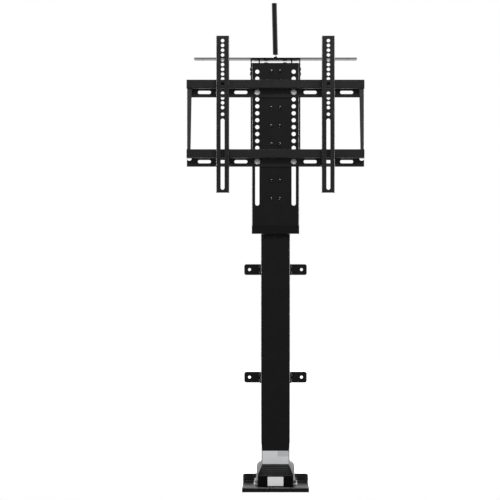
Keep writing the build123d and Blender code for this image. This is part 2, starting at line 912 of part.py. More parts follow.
with BuildPart() as spindle_coupling:
    with BuildSketch(Plane.XY.offset(spindle_bottom)):
        with Locations((0, column_place)):
            Circle(coupling_radius)
            Circle(spindle_radius + fit_gap, mode=Mode.SUBTRACT)
    extrude(amount=coupling_height)
spindle_coupling.part.label = "spindle_coupling"
export_step(spindle_coupling.part, "parts/spindle_coupling.step")

# Spindle nut at the foot of the push tube, which carries the top cap
with BuildPart() as spindle_nut:
    with BuildSketch(Plane.XY.offset(push_tube_bottom - nut_flange_height)):
        with Locations((0, column_place)):
            Circle(nut_flange_radius)
    extrude(amount=nut_flange_height)
    with BuildSketch(Plane.XY.offset(push_tube_bottom)):
        with Locations((0, column_place)):
            Circle(push_tube_radius - push_tube_wall - fit_gap)
    extrude(amount=nut_body_height)
    with BuildSketch(Plane.XY.offset(push_tube_bottom - nut_flange_height)):
        with Locations((0, column_place)):
            Circle(spindle_radius + running_gap)
    extrude(amount=nut_flange_height + nut_body_height, mode=Mode.SUBTRACT)
spindle_nut.part.label = "spindle_nut"
export_step(spindle_nut.part, "parts/spindle_nut.step")

with BuildPart() as push_tube:
    with BuildSketch(Plane.XY.offset(push_tube_bottom)):
        with Locations((0, column_place)):
            Circle(push_tube_radius)
            Circle(push_tube_radius - push_tube_wall, mode=Mode.SUBTRACT)
    extrude(amount=inner_top - push_tube_bottom)
push_tube.part.label = "push_tube"
export_step(push_tube.part, "parts/push_tube.step")

# Inner column tube
with BuildPart() as inner_tube:
    with BuildSketch(Plane.XY.offset(inner_bottom)):
        with Locations((0, column_place)):
            RectangleRounded(inner_width, inner_depth, inner_corner)
            RectangleRounded(
                inner_width - 2 * inner_wall,
                inner_depth - 2 * inner_wall,
                inner_corner - inner_wall,
                mode=Mode.SUBTRACT,
            )
    extrude(amount=inner_top - inner_bottom)
inner_tube.part.label = "inner_tube"
export_step(inner_tube.part, "parts/inner_tube.step")

# Nylon glide on the inner tube's foot, which runs in the outer tube
with BuildPart() as lower_glide:
    with BuildSketch(Plane.XY.offset(inner_bottom - glide_lip)):
        with Locations((0, column_place)):
            RectangleRounded(
                tube_width - 2 * tube_wall - 2 * slide_gap,
                tube_depth - 2 * tube_wall - 2 * slide_gap,
                tube_corner,
            )
    extrude(amount=glide_lip + glide_height)
    with BuildSketch(Plane.XY.offset(inner_bottom)):
        with Locations((0, column_place)):
            RectangleRounded(
                inner_width + 2 * fit_gap, inner_depth + 2 * fit_gap, inner_corner + fit_gap
            )
    extrude(amount=glide_height, mode=Mode.SUBTRACT)
    with BuildSketch(Plane.XY.offset(inner_bottom - glide_lip)):
        with Locations((0, column_place)):
            RectangleRounded(
                inner_width - 2 * glide_lip_wall,
                inner_depth - 2 * glide_lip_wall,
                inner_corner,
            )
    extrude(amount=glide_lip, mode=Mode.SUBTRACT)
lower_glide.part.label = "lower_glide"
export_step(lower_glide.part, "parts/lower_glide.step")

# Top cap: closes the inner tube, and the carriage hangs from it
cap_bolt_places = both_sides(cap_bolt_half, (cap_bolt_front_place, cap_bolt_rear_place))
with BuildPart() as top_cap:
    with BuildSketch(Plane.XY.offset(inner_top)):
        with Locations((0, column_place)):
            RectangleRounded(inner_width, inner_depth, inner_corner)
        with Locations(*cap_bolt_places):
            Circle(m6_shank_radius + fit_gap, mode=Mode.SUBTRACT)
    extrude(amount=cap_thickness)
top_cap.part.label = "top_cap"
export_step(top_cap.part, "parts/top_cap.step")

cap_bolt = hex_bolt(
    m6_flats,
    m6_head_height,
    m6_flange_radius,
    m6_flange_height,
    m6_shank_radius,
    carriage_sheet + cap_thickness,
)
with BuildPart() as top_cap_bolts:
    with Locations(*[(across, place, carriage_top) for across, place in cap_bolt_places]):
        add(cap_bolt)
top_cap_bolts.part.label = "top_cap_bolts"
export_step(top_cap_bolts.part, "parts/top_cap_bolts.step")

# Carriage: a U channel open to the rear, folded over the top cap at its top and set back
# at its foot, with two rows of rail holes and two long slots
slot_top = lower_bolt_height + carriage_hole_radius
lip_top = carriage_bottom + carriage_lip_height
lip_points = [
    (carriage_front, lip_top),
    (carriage_web_rear, lip_top),
    (carriage_web_rear + carriage_lip_setback, carriage_bottom),
    (carriage_front + carriage_lip_setback, carriage_bottom),
]
hole_heights = [
    carriage_hole_top - number * carriage_hole_pitch for number in range(carriage_hole_count)
]
with BuildPart() as carriage:
    with BuildSketch(Plane.XY.offset(lip_top)) as channel:
        with Locations((0, (carriage_front + carriage_rear) / 2)):
            Rectangle(carriage_width, carriage_flange_depth)
        with Locations((0, (carriage_front + carriage_rear) / 2 + carriage_sheet)):
            Rectangle(
                carriage_width - 2 * carriage_sheet, carriage_flange_depth, mode=Mode.SUBTRACT
            )
        fillet(channel.vertices().group_by(Axis.Y)[1], carriage_bend_radius - carriage_sheet)
        fillet(channel.vertices().group_by(Axis.Y)[0], carriage_bend_radius)
    extrude(amount=carriage_top - lip_top)
    with BuildSketch(Plane.YZ.offset(-carriage_half)):
        with BuildLine():
            Polyline(*lip_points, close=True)
        make_face()
    extrude(amount=carriage_width)
    with BuildSketch(Plane.XY.offset(cap_top)):
        with Locations((0, (carriage_web_rear + carriage_top_flange_rear) / 2)):
            Rectangle(2 * carriage_top_flange_half, carriage_top_flange_rear - carriage_web_rear)
        with Locations(*cap_bolt_places):
            Circle(m6_hole_radius, mode=Mode.SUBTRACT)
    extrude(amount=carriage_sheet)
    with BuildSketch(facing_front(carriage_web_rear + fit_gap)):
        with Locations(*both_sides(carriage_hole_half, hole_heights)):
            Circle(carriage_hole_radius)
        with Locations(*both_sides(carriage_hole_half, [(slot_top + carriage_slot_bottom) / 2])):
            SlotOverall(slot_top - carriage_slot_bottom, 2 * carriage_hole_radius, rotation=90)
        with Locations(*both_sides(stiffener_screw_half, stiffener_screw_heights)):
            Circle(m4_hole_radius)
    extrude(amount=overrun, mode=Mode.SUBTRACT)
    with BuildSketch(Plane.YZ.offset(-carriage_half - overrun)):
        with Locations(*[(leg_screw_place, height) for height in leg_screw_heights]):
            Circle(m5_shank_radius + fit_gap)
    extrude(amount=carriage_width + 2 * overrun, mode=Mode.SUBTRACT)
carriage.part.label = "carriage"
export_step(carriage.part, "parts/carriage.step")

# Stiffening channel behind the carriage plate
stiffener_place = carriage_web_rear + stiffener_depth / 2
with BuildPart() as stiffener:
    with BuildSketch(Plane.XY.offset(stiffener_bottom)):
        with Locations((0, stiffener_place)):
            Rectangle(stiffener_width, stiffener_depth)
        with Locations((0, stiffener_place + stiffener_sheet)):
            Rectangle(
                stiffener_width - 2 * stiffener_sheet, stiffener_depth, mode=Mode.SUBTRACT
            )
    extrude(amount=stiffener_top - stiffener_bottom)
    with BuildSketch(facing_front(stiffener_web_rear + fit_gap)):
        with Locations(*both_sides(stiffener_screw_half, stiffener_screw_heights)):
            Circle(m4_shank_radius + fit_gap)
    extrude(amount=stiffener_depth, mode=Mode.SUBTRACT)
stiffener.part.label = "stiffener"
export_step(stiffener.part, "parts/stiffener.step")

stiffener_screw = button_screw(
    m4_head_radius, m4_head_height, m4_shank_radius, stiffener_screw_length
)
with BuildPart() as stiffener_screws:
    spots = both_sides(stiffener_screw_half, stiffener_screw_heights)
    with Locations(*turned_to_front([(across, carriage_front, up) for across, up in spots])):
        add(stiffener_screw)
stiffener_screws.part.label = "stiffener_screws"
export_step(stiffener_screws.part, "parts/stiffener_screws.step")

# Glide pad inside the stiffener, which keeps the hanging carriage off the column
with BuildPart() as glide_pad:
    with BuildSketch(facing_front(tube_front - slide_gap)):
        with Locations((0, pad_bottom + pad_height / 2)):
            Rectangle(pad_width, pad_height)
        with Locations(*both_sides(stiffener_screw_half, stiffener_screw_heights[-1:])):
            Circle(m4_shank_radius + fit_gap, mode=Mode.SUBTRACT)
    extrude(amount=tube_front - slide_gap - stiffener_web_rear)
glide_pad.part.label = "glide_pad"
export_step(glide_pad.part, "parts/glide_pad.step")

# Cross rails: a slotted web against the carriage, a shelf, and an upright lip at the front
# for the hooks of the arms. The upper web is shorter, to leave room for the side bars.
for level, bolt_height in rail_bolt_heights.items():
    shelf_underside = bolt_height + rail_shelf_above_bolt
    rail_bottom = bolt_height - rail_web_below_bolt
    rail_points = [
        (carriage_front, rail_bottom),
        (carriage_front, shelf_underside + rail_sheet),
        (rail_lip_rear, shelf_underside + rail_sheet),
        (rail_lip_rear, bolt_height + rail_lip_above_bolt),
        (rail_lip_front, bolt_height + rail_lip_above_bolt),
        (rail_lip_front, shelf_underside),
        (rail_front, shelf_underside),
        (rail_front, rail_bottom),
    ]
    rail_radii = [0, rail_fold_radius, rail_inner_radius, 0, 0, rail_fold_radius, rail_inner_radius, 0]
    with BuildPart() as rail:
        with BuildSketch(Plane.YZ.offset(-rail_length / 2)):
            with BuildLine():
                FilletPolyline(*rail_points, radius=rail_radii, close=True)
            make_face()
        extrude(amount=rail_length)
        with BuildSketch(facing_front(carriage_front + fit_gap)):
            for slot_half in rail_slot_halves:
                with Locations(*both_sides(slot_half, [bolt_height])):
                    SlotOverall(rail_slot_length, rail_slot_width)
            with Locations(*both_sides(carriage_hole_half, [bolt_height])):
                Circle(m8_hole_radius)
        extrude(amount=rail_sheet + 2 * fit_gap, mode=Mode.SUBTRACT)
        with BuildSketch(facing_front(carriage_front + fit_gap)):
            if level == "upper":
                bar_room = side_bar_outer_half - side_bar_width + rail_web_tuck
                middle = (bar_room + rail_length) / 2
                with Locations(*both_sides(middle, [(rail_bottom + shelf_underside) / 2])):
                    Rectangle(rail_length - bar_room, shelf_underside - rail_bottom)
            else:
                with Locations(*both_sides(rail_notch_half, [shelf_underside])):
                    Circle(rail_notch_radius)
                with Locations((0, shelf_underside + rail_notch_radius)):
                    Rectangle(rail_length, 2 * rail_notch_radius, mode=Mode.SUBTRACT)
        extrude(amount=rail_sheet + 2 * fit_gap, mode=Mode.SUBTRACT)
    rail.part.label = f"{level}_rail"
    export_step(rail.part, f"parts/{level}_rail.step")

# Rail bolts at the front, nuts behind the carriage plate
rail_bolt = hex_bolt(
    m8_flats,
    m8_head_height - m8_flange_height,
    m8_flange_radius,
    m8_flange_height,
    m8_shank_radius,
    rail_sheet + carriage_sheet + m8_nut_height,
)
rail_bolt_spots = both_sides(carriage_hole_half, list(rail_bolt_heights.values()))
with BuildPart() as rail_bolts:
    with Locations(*turned_to_front([(across, rail_front, up) for across, up in rail_bolt_spots])):
        add(rail_bolt)
rail_bolts.part.label = "rail_bolts"
export_step(rail_bolts.part, "parts/rail_bolts.step")

with BuildPart() as rail_nuts:
    nut_rear = carriage_web_rear + m8_nut_height
    with Locations(*turned_to_front([(across, nut_rear, up) for across, up in rail_bolt_spots])):
        add(hex_nut(m8_flats, m8_nut_height, m8_shank_radius + fit_gap))
rail_nuts.part.label = "rail_nuts"
export_step(rail_nuts.part, "parts/rail_nuts.step")

# Side bars: angles between the shelves of the two rails, narrower at their feet
bar_bottom = lower_bolt_height + rail_shelf_above_bolt + rail_sheet
bar_top = upper_bolt_height + rail_shelf_above_bolt
for name, side in sides.items():
    bar_points = [
        (side * side_bar_outer_half, bar_bottom),
        (side * side_bar_outer_half, bar_top),
        (side * (side_bar_outer_half - side_bar_width), bar_top),
        (side * (side_bar_outer_half - side_bar_foot_width), bar_bottom),
    ]
    with BuildPart() as side_bar:
        with BuildSketch(facing_front(side_bar_front + side_bar_sheet)):
            with BuildLine():
                Polyline(*bar_points, close=True)
            make_face()
        extrude(amount=side_bar_sheet)
        with BuildSketch(Plane.XY.offset(bar_bottom)):
            wall_middle = side_bar_outer_half - side_bar_sheet / 2
            with Locations((side * wall_middle, side_bar_front + side_bar_depth / 2)):
                Rectangle(side_bar_sheet, side_bar_depth)
        extrude(amount=bar_top - bar_bottom)
        outer_edge = side_bar.edges().filter_by(Axis.Z).group_by(Axis.Y)[0].sort_by(Axis.X)
        fillet(outer_edge[-1 if side > 0 else 0], side_bar_sheet)
    side_bar.part.label = f"{name}_side_bar"
    export_step(side_bar.part, f"parts/{name}_side_bar.step")

# TV arms: U channels open to the rear. Hooks in their flanges hang on the rail lips, and a
# bolt below the lower shelf keeps each arm from being lifted off.
arm_slot_bottom = arm_hole_first - arm_slot_end_drop - arm_slot_width / 2
arm_hole_heights = [arm_hole_first - number * arm_hole_pitch for number in range(arm_hole_count)]
arm_hole_heights.append(arm_hole_first - arm_extra_hole_drop)
for name, side in sides.items():
    arm_middle = side * arm_half
    with BuildPart() as arm:
        with BuildSketch(Plane.XY.offset(arm_bottom)) as arm_channel:
            with Locations((arm_middle, (arm_front + arm_rear) / 2)):
                Rectangle(arm_width, arm_depth)
            with Locations((arm_middle, (arm_front + arm_rear) / 2 + arm_sheet)):
                Rectangle(arm_width - 2 * arm_sheet, arm_depth, mode=Mode.SUBTRACT)
            fillet(arm_channel.vertices().group_by(Axis.Y)[1], arm_bend_radius - arm_sheet)
            fillet(arm_channel.vertices().group_by(Axis.Y)[0], arm_bend_radius)
        extrude(amount=arm_top - arm_bottom)
        with BuildSketch(Plane.YZ.offset(arm_middle - arm_width)):
            with Locations(((arm_hook_front + arm_rear + overrun) / 2, (arm_bottom + arm_top) / 2)):
                Rectangle(arm_rear + overrun - arm_hook_front, arm_top - arm_bottom + overrun)
            for bolt_height in rail_bolt_heights.values():
                hook_bottom = bolt_height + rail_lip_above_bolt + hook_gap
                tail_front = rail_lip_rear + slide_gap
                hook_points = [
                    (arm_hook_front - overrun, hook_bottom),
                    (tail_front, hook_bottom),
                    (tail_front, hook_bottom - hook_tail_drop),
                    (tail_front + hook_tail_depth, hook_bottom - hook_tail_drop),
                    (tail_front + hook_tail_depth, hook_bottom),
                    (arm_hook_front, hook_bottom + hook_height),
                    (arm_hook_front - overrun, hook_bottom + hook_height),
                ]
                with BuildLine():
                    Polyline(*hook_points, close=True)
                make_face(mode=Mode.SUBTRACT)
            with Locations(((arm_hook_front + arm_rear) / 2 - overrun / 2, lock_bolt_height)):
                RectangleRounded(
                    arm_rear - arm_hook_front + overrun,
                    lock_tab_height,
                    arm_bend_radius,
                    mode=Mode.SUBTRACT,
                )
        extrude(amount=2 * arm_width, mode=Mode.SUBTRACT)
        with BuildSketch(facing_front(arm_front + arm_sheet + fit_gap)):
            with Locations(*[(arm_middle, height) for height in arm_hole_heights]):
                Circle(arm_hole_radius)
            with Locations((arm_middle, (arm_slot_top + arm_slot_bottom) / 2)):
                SlotOverall(arm_slot_top - arm_slot_bottom, arm_slot_width, rotation=90)
        extrude(amount=overrun, mode=Mode.SUBTRACT)
        with BuildSketch(Plane.YZ.offset(arm_middle - arm_width)):
            with Locations((lock_bolt_place, lock_bolt_height)):
                Circle(m5_hole_radius)
        extrude(amount=2 * arm_width, mode=Mode.SUBTRACT)
    arm.part.label = f"{name}_arm"
    export_step(arm.part, f"parts/{name}_arm.step")

    lock_bolt = hex_bolt(
        m5_flats,
        m5_nut_height,
        m5_flats / 2,
        fit_gap,
        m5_shank_radius,
        arm_width + m5_nut_height + lock_bolt_end,
    )
    head_seat = arm_middle + side * arm_width / 2
    nut_seat = arm_middle - side * arm_width / 2
    with BuildPart() as lock:
        with Locations(Location((head_seat, lock_bolt_place, lock_bolt_height), (0, side * 90, 0))):
            add(lock_bolt)
        with Locations(Location((nut_seat, lock_bolt_place, lock_bolt_height), (0, -side * 90, 0))):
            add(hex_nut(m5_flats, m5_nut_height, m5_shank_radius + fit_gap))
    lock.part.label = f"{name}_arm_lock_bolt"
    export_step(lock.part, f"parts/{name}_arm_lock_bolt.step")

# Lid plate on two slotted legs beside the carriage. It rests on stop pins that stand on the
# carriage, and can be raised along its legs.
with BuildPart() as lid_plate:
    with BuildSketch(Plane.XY.offset(lid_underside)):
        with Locations((0, lid_front + lid_depth / 2)):
            RectangleRounded(lid_width, lid_depth, lid_corner)
        with Locations(*both_sides(lid_hole_half, lid_hole_places)):
            Circle(lid_hole_radius, mode=Mode.SUBTRACT)
        with Locations((0, rod_place)):
            Circle(m8_hole_radius, mode=Mode.SUBTRACT)
    extrude(amount=lid_thickness)
lid_plate.part.label = "lid_plate"
export_step(lid_plate.part, "parts/lid_plate.step")

leg_slot_top = max(leg_screw_heights) + leg_slot_width / 2 + fit_gap
for name, side in sides.items():
    leg_inner = side * leg_inner_half
    with BuildPart() as leg:
        with BuildSketch(Plane.YZ.offset(leg_inner)):
            with Locations((leg_front + leg_depth / 2, (leg_bottom + lid_underside) / 2)):
                Rectangle(leg_depth, lid_underside - leg_bottom)
            with Locations((leg_screw_place, (leg_slot_top + leg_slot_bottom) / 2)):
                SlotOverall(
                    leg_slot_top - leg_slot_bottom, leg_slot_width, rotation=90, mode=Mode.SUBTRACT
                )
        extrude(amount=side * leg_thickness)
    leg.part.label = f"{name}_lid_leg"
    export_step(leg.part, f"parts/{name}_lid_leg.step")

leg_screw = button_screw(
    m5_head_radius,
    m5_low_head_height,
    m5_shank_radius,
    2 * slide_gap + leg_thickness + carriage_sheet,
)
with BuildPart() as leg_screws:
    for side in sides.values():
        head_seat = side * (leg_outer_half + slide_gap)
        spots = [
            Location((head_seat, leg_screw_place, height), (0, side * 90, 0))
            for height in leg_screw_heights
        ]
        with Locations(*spots):
            add(leg_screw)
leg_screws.part.label = "leg_screws"
export_step(leg_screws.part, "parts/leg_screws.step")

with BuildPart() as stop_pins:
    with BuildSketch(Plane.XY.offset(carriage_top)):
        with Locations(*both_sides(stop_pin_half, [stop_pin_place])):
            Circle(stop_pin_radius)
    extrude(amount=bridge_underside - fit_gap - carriage_top)
stop_pins.part.label = "stop_pins"
export_step(stop_pins.part, "parts/stop_pins.step")

# Push rod: a stud through the lid plate, screwed into the bridge and locked by a nut, with a
# soft sleeve. It leans a little to the left.
lean = radians(rod_lean)
rod_plane = Plane(
    origin=(0, rod_place, lid_top), x_dir=(cos(lean), 0, sin(lean)), z_dir=(-sin(lean), 0, cos(lean))
)
sleeve_bottom = rod_washer_height + rod_nut_height + slide_gap
sleeve_top = rod_length
sleeve_bore_radius = m8_shank_radius + fit_gap
stud_foot = lid_thickness + leg_bridge_thickness
with BuildPart() as rod_stud:
    with BuildSketch(rod_plane.offset(-stud_foot)):
        Circle(m8_shank_radius)
    extrude(amount=stud_foot + sleeve_bottom + rod_sleeve_bore_depth)
rod_stud.part.label = "rod_stud"
export_step(rod_stud.part, "parts/rod_stud.step")

# Bridge between the tops of the two legs, under the lid plate
with BuildPart() as leg_bridge:
    with BuildSketch(Plane.XY.offset(bridge_underside)):
        with Locations((0, rod_place)):
            Rectangle(2 * leg_inner_half, 2 * (rod_place - leg_front))
    extrude(amount=leg_bridge_thickness)
    with BuildSketch(rod_plane.offset(-overrun)):
        Circle(sleeve_bore_radius)
    extrude(amount=overrun, mode=Mode.SUBTRACT)
leg_bridge.part.label = "leg_bridge"
export_step(leg_bridge.part, "parts/leg_bridge.step")

with BuildPart() as rod_sleeve:
    with BuildSketch(rod_plane.offset(sleeve_bottom)):
        Circle(rod_sleeve_radius)
    extrude(amount=sleeve_top - sleeve_bottom)
    fillet(rod_sleeve.faces().sort_by(Axis.Z)[-1].edges(), rod_sleeve_round)
    with BuildSketch(rod_plane.offset(sleeve_bottom)):
        Circle(sleeve_bore_radius)
    extrude(amount=rod_sleeve_bore_depth, mode=Mode.SUBTRACT)
    with BuildSketch(rod_plane.offset(sleeve_top)):
        Circle(rod_tip_hole_radius)
    extrude(amount=-rod_tip_hole_depth, mode=Mode.SUBTRACT)
rod_sleeve.part.label = "rod_sleeve"
export_step(rod_sleeve.part, "parts/rod_sleeve.step")

with BuildPart() as rod_nut:
    with Locations((0, rod_place, lid_top + rod_washer_height)):
        add(hex_nut(m8_flats, rod_nut_height, rod_nut_bore_radius))
rod_nut.part.label = "rod_nut"
export_step(rod_nut.part, "parts/rod_nut.step")

with BuildPart() as rod_washer:
    with BuildSketch(Plane.XY.offset(lid_top)):
        with Locations((0, rod_place)):
            Circle(rod_washer_radius)
            Circle(rod_nut_bore_radius, mode=Mode.SUBTRACT)
    extrude(amount=rod_washer_height)
rod_washer.part.label = "rod_washer"
export_step(rod_washer.part, "parts/rod_washer.step")

# Wall brackets: a leg screwed to the side of the column, and a wing with one hole
for level, middle in bracket_heights.items():
    for name, side in sides.items():
        with BuildPart() as bracket:
            with BuildSketch(facing_front(column_rear)) as wing:
                with Locations((side * (tube_half + bracket_half) / 2, middle)):
                    Rectangle(bracket_half - tube_half, bracket_height)
                outer_corners = wing.vertices().group_by(Axis.X)[-1 if side > 0 else 0]
                fillet(outer_corners, bracket_corner)
                with Locations((side * bracket_hole_half, middle)):
                    Circle(bracket_hole_radius, mode=Mode.SUBTRACT)
            extrude(amount=bracket_sheet)
            with BuildSketch(Plane.XY.offset(middle - bracket_height / 2)):
                leg_place = column_rear - bracket_leg_depth / 2
                with Locations((side * (tube_half + bracket_sheet / 2), leg_place)):
                    Rectangle(bracket_sheet, bracket_leg_depth)
            extrude(amount=bracket_height)
            with BuildSketch(Plane.YZ.offset(side * (tube_half - fit_gap))):
                with Locations(*bracket_screw_places):
                    Circle(m5_hole_radius)
            extrude(amount=side * (bracket_sheet + 2 * fit_gap), mode=Mode.SUBTRACT)
        bracket.part.label = f"{level}_{name}_wall_bracket"
        export_step(bracket.part, f"parts/{level}_{name}_wall_bracket.step")

bracket_screw = button_screw(m5_head_radius, m5_head_height, m5_shank_radius, bracket_screw_length)
with BuildPart() as bracket_screws:
    for side in sides.values():
        head_seat = side * (tube_half + bracket_sheet)
        spots = [
            Location((head_seat, place, height), (0, side * 90, 0))
            for place, height in bracket_screw_places
        ]
        with Locations(*spots):
            add(bracket_screw)
bracket_screws.part.label = "bracket_screws"
export_step(bracket_screws.part, "parts/bracket_screws.step")
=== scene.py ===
import bpy, bmesh, math, random
from mathutils import Euler, Matrix, Vector


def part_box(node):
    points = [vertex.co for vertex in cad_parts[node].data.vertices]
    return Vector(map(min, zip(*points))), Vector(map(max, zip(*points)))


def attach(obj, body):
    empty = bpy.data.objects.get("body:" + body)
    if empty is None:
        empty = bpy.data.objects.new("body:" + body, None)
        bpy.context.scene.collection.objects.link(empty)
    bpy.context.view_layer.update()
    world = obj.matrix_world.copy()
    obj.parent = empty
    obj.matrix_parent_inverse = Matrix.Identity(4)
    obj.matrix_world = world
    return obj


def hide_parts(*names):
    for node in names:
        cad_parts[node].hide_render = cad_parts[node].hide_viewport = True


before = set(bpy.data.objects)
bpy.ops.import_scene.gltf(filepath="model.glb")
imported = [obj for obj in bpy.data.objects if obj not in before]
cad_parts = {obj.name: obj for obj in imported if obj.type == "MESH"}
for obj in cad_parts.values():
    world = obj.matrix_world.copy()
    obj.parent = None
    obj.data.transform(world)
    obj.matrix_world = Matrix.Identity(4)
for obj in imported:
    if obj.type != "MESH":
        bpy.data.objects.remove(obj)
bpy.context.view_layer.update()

# Camera: level, at the height of the middle of the column, from far enough away that the
# lift's uprights stay upright in the picture. The lift stands a little right of centre.
camera_lens = bpy.data.cameras.new("camera")
camera_lens.sensor_width = 36
camera_lens.lens = 112.3
camera_lens.shift_x = -0.051
camera_lens.clip_end = 50
camera = bpy.data.objects.new("camera", camera_lens)
camera.location = (0, -4.2875, 0.6556)
camera.rotation_euler = (math.radians(90), 0, 0)
bpy.context.scene.collection.objects.link(camera)
bpy.context.scene.camera = camera


# Studio: a pale floor, a white room seen by the camera and low behind in polished faces, an
# even fill, and soft boxes and strips at both sides that draw light lines along the bends.
def fresh_material(name):
    material = bpy.data.materials.new(name)
    material.use_nodes = True
    tree = material.node_tree
    tree.nodes.clear()
    return material, tree


def stage_floor(half_width, front, rear, colour, lift_to_white, lift_in_mirrors):
    mesh = bpy.data.meshes.new("studio_floor")
    corners = [(-half_width, front), (half_width, front), (half_width, rear), (-half_width, rear)]
    mesh.from_pydata([(x, y, -0.0004) for x, y in corners], [], [(0, 1, 2, 3)])
    floor = bpy.data.objects.new("studio_floor", mesh)
    bpy.context.scene.collection.objects.link(floor)
    material, tree = fresh_material("pale_floor")
    diffuse = tree.nodes.new("ShaderNodeBsdfDiffuse")
    diffuse.inputs["Color"].default_value = (colour, colour, colour, 1)
    glow = tree.nodes.new("ShaderNodeEmission")
    seen = tree.nodes.new("ShaderNodeLightPath")
    plain = tree.nodes.new("ShaderNodeMath")
    plain.operation = "MULTIPLY"
    plain.inputs[1].default_value = lift_to_white
    faint = tree.nodes.new("ShaderNodeMath")
    faint.operation = "MULTIPLY"
    faint.inputs[1].default_value = lift_in_mirrors
    both = tree.nodes.new("ShaderNodeAddShader")
    out = tree.nodes.new("ShaderNodeOutputMaterial")
    mirrored = tree.nodes.new("ShaderNodeMath")
    mirrored.operation = "MAXIMUM"
    shown = tree.nodes.new("ShaderNodeMath")
    shown.operation = "MAXIMUM"
    tree.links.new(seen.outputs["Is Glossy Ray"], mirrored.inputs[0])
    tree.links.new(seen.outputs["Is Transmission Ray"], mirrored.inputs[1])
    tree.links.new(seen.outputs["Is Camera Ray"], plain.inputs[0])
    tree.links.new(mirrored.outputs[0], faint.inputs[0])
    tree.links.new(plain.outputs[0], shown.inputs[0])
    tree.links.new(faint.outputs[0], shown.inputs[1])
    tree.links.new(shown.outputs[0], glow.inputs["Strength"])
    tree.links.new(diffuse.outputs[0], both.inputs[0])
    tree.links.new(glow.outputs[0], both.inputs[1])
    tree.links.new(both.outputs[0], out.inputs["Surface"])
    mesh.materials.append(material)


def soft_box(name, place, target, width, height, power):
    light = bpy.data.lights.new(name, "AREA")
    light.shape = "RECTANGLE"
    light.size = width
    light.size_y = height
    light.energy = power
    lamp = bpy.data.objects.new(name, light)
    lamp.location = place
    lamp.rotation_euler = (Vector(target) - Vector(place)).to_track_quat("-Z", "Y").to_euler()
    lamp.visible_camera = False
    bpy.context.scene.collection.objects.link(lamp)


stage_floor(half_width=3.5, front=-0.066, rear=5, colour=0.82, lift_to_white=0.97,
            lift_in_mirrors=0.5)
soft_box("left_box", place=(-1.7, 1.0, 0.95), target=(0, 0, 0.9), width=1.2, height=2.4, power=24)
soft_box("right_box", place=(1.7, 1.0, 0.95), target=(0, 0, 0.9), width=1.2, height=2.4, power=26)
soft_box("left_strip", place=(-1.9, 0.4, 0.95), target=(0, 0, 0.95), width=0.22, height=2.4,
         power=34)
soft_box("right_strip", place=(1.9, 0.4, 0.95), target=(0, 0, 0.95), width=0.22, height=2.4,
         power=34)
soft_box("front_box", place=(0.5, -2.3, 3.5), target=(0, 0, 0.6), width=2.0, height=1.2, power=100)
soft_box("rear_box", place=(-0.4, 0.1, 3.9), target=(0, 0, 0.7), width=2.0, height=0.8, power=30)

room = bpy.data.worlds.new("white_room")
room.use_nodes = True
room_tree = room.node_tree
room_tree.nodes.clear()
room_path = room_tree.nodes.new("ShaderNodeLightPath")
room_way = room_tree.nodes.new("ShaderNodeTexCoord")
room_split = room_tree.nodes.new("ShaderNodeSeparateXYZ")
room_ramp = room_tree.nodes.new("ShaderNodeMapRange")
room_ramp.inputs["From Min"].default_value = -0.35
room_ramp.inputs["From Max"].default_value = 0.45
room_rise = room_tree.nodes.new("ShaderNodeMath")
room_rise.operation = "ABSOLUTE"
room_band = room_tree.nodes.new("ShaderNodeMapRange")
room_band.inputs["From Min"].default_value = 0.55
room_band.inputs["From Max"].default_value = 0.3
room_ring = room_tree.nodes.new("ShaderNodeMath")
room_ring.operation = "MULTIPLY"
room_seen = room_tree.nodes.new("ShaderNodeMath")
room_seen.operation = "MAXIMUM"
room_sheer = room_tree.nodes.new("ShaderNodeMath")
room_sheer.operation = "MAXIMUM"
room_gloss = room_tree.nodes.new("ShaderNodeMath")
room_gloss.operation = "MULTIPLY"
room_level = room_tree.nodes.new("ShaderNodeMapRange")
room_level.inputs["To Min"].default_value = 0.09
room_level.inputs["To Max"].default_value = 1.0
room_fill = room_tree.nodes.new("ShaderNodeMath")
room_fill.operation = "MULTIPLY_ADD"
room_fill.inputs[1].default_value = 0.27
room_light = room_tree.nodes.new("ShaderNodeBackground")
room_light.inputs["Color"].default_value = (1, 1, 1, 1)
room_out = room_tree.nodes.new("ShaderNodeOutputWorld")
link = room_tree.links.new
link(room_way.outputs["Generated"], room_split.inputs[0])
link(room_split.outputs["Y"], room_ramp.inputs["Value"])
link(room_path.outputs["Is Glossy Ray"], room_gloss.inputs[0])
link(room_split.outputs["Z"], room_rise.inputs[0])
link(room_rise.outputs[0], room_band.inputs["Value"])
link(room_ramp.outputs[0], room_ring.inputs[0])
link(room_band.outputs[0], room_ring.inputs[1])
link(room_ring.outputs[0], room_gloss.inputs[1])
link(room_path.outputs["Is Camera Ray"], room_sheer.inputs[0])
link(room_path.outputs["Is Transmission Ray"], room_sheer.inputs[1])
link(room_sheer.outputs[0], room_seen.inputs[0])
link(room_gloss.outputs[0], room_seen.inputs[1])
link(room_seen.outputs[0], room_level.inputs["Value"])
link(room_path.outputs["Is Diffuse Ray"], room_fill.inputs[0])
link(room_level.outputs[0], room_fill.inputs[2])
link(room_fill.outputs[0], room_light.inputs["Strength"])
link(room_light.outputs[0], room_out.inputs["Surface"])
bpy.context.scene.world = room
bpy.context.scene.view_settings.view_transform = "Standard"


# Base tray: one folded sheet of 3 mm steel with standing front and side lips and an upright
# rear flange, satin black powder coat baked on over the bends. It is screwed to the floor.
def surface_noise(tree, scale, detail, stretch=(1, 1, 1)):
    place = tree.nodes.new("ShaderNodeTexCoord")
    mapping = tree.nodes.new("ShaderNodeMapping")
    mapping.inputs["Scale"].default_value = stretch
    noise = tree.nodes.new("ShaderNodeTexNoise")
    noise.inputs["Scale"].default_value = scale
    noise.inputs["Detail"].default_value = detail
    tree.links.new(place.outputs["Object"], mapping.inputs["Vector"])
    tree.links.new(mapping.outputs[0], noise.inputs["Vector"])
    return noise


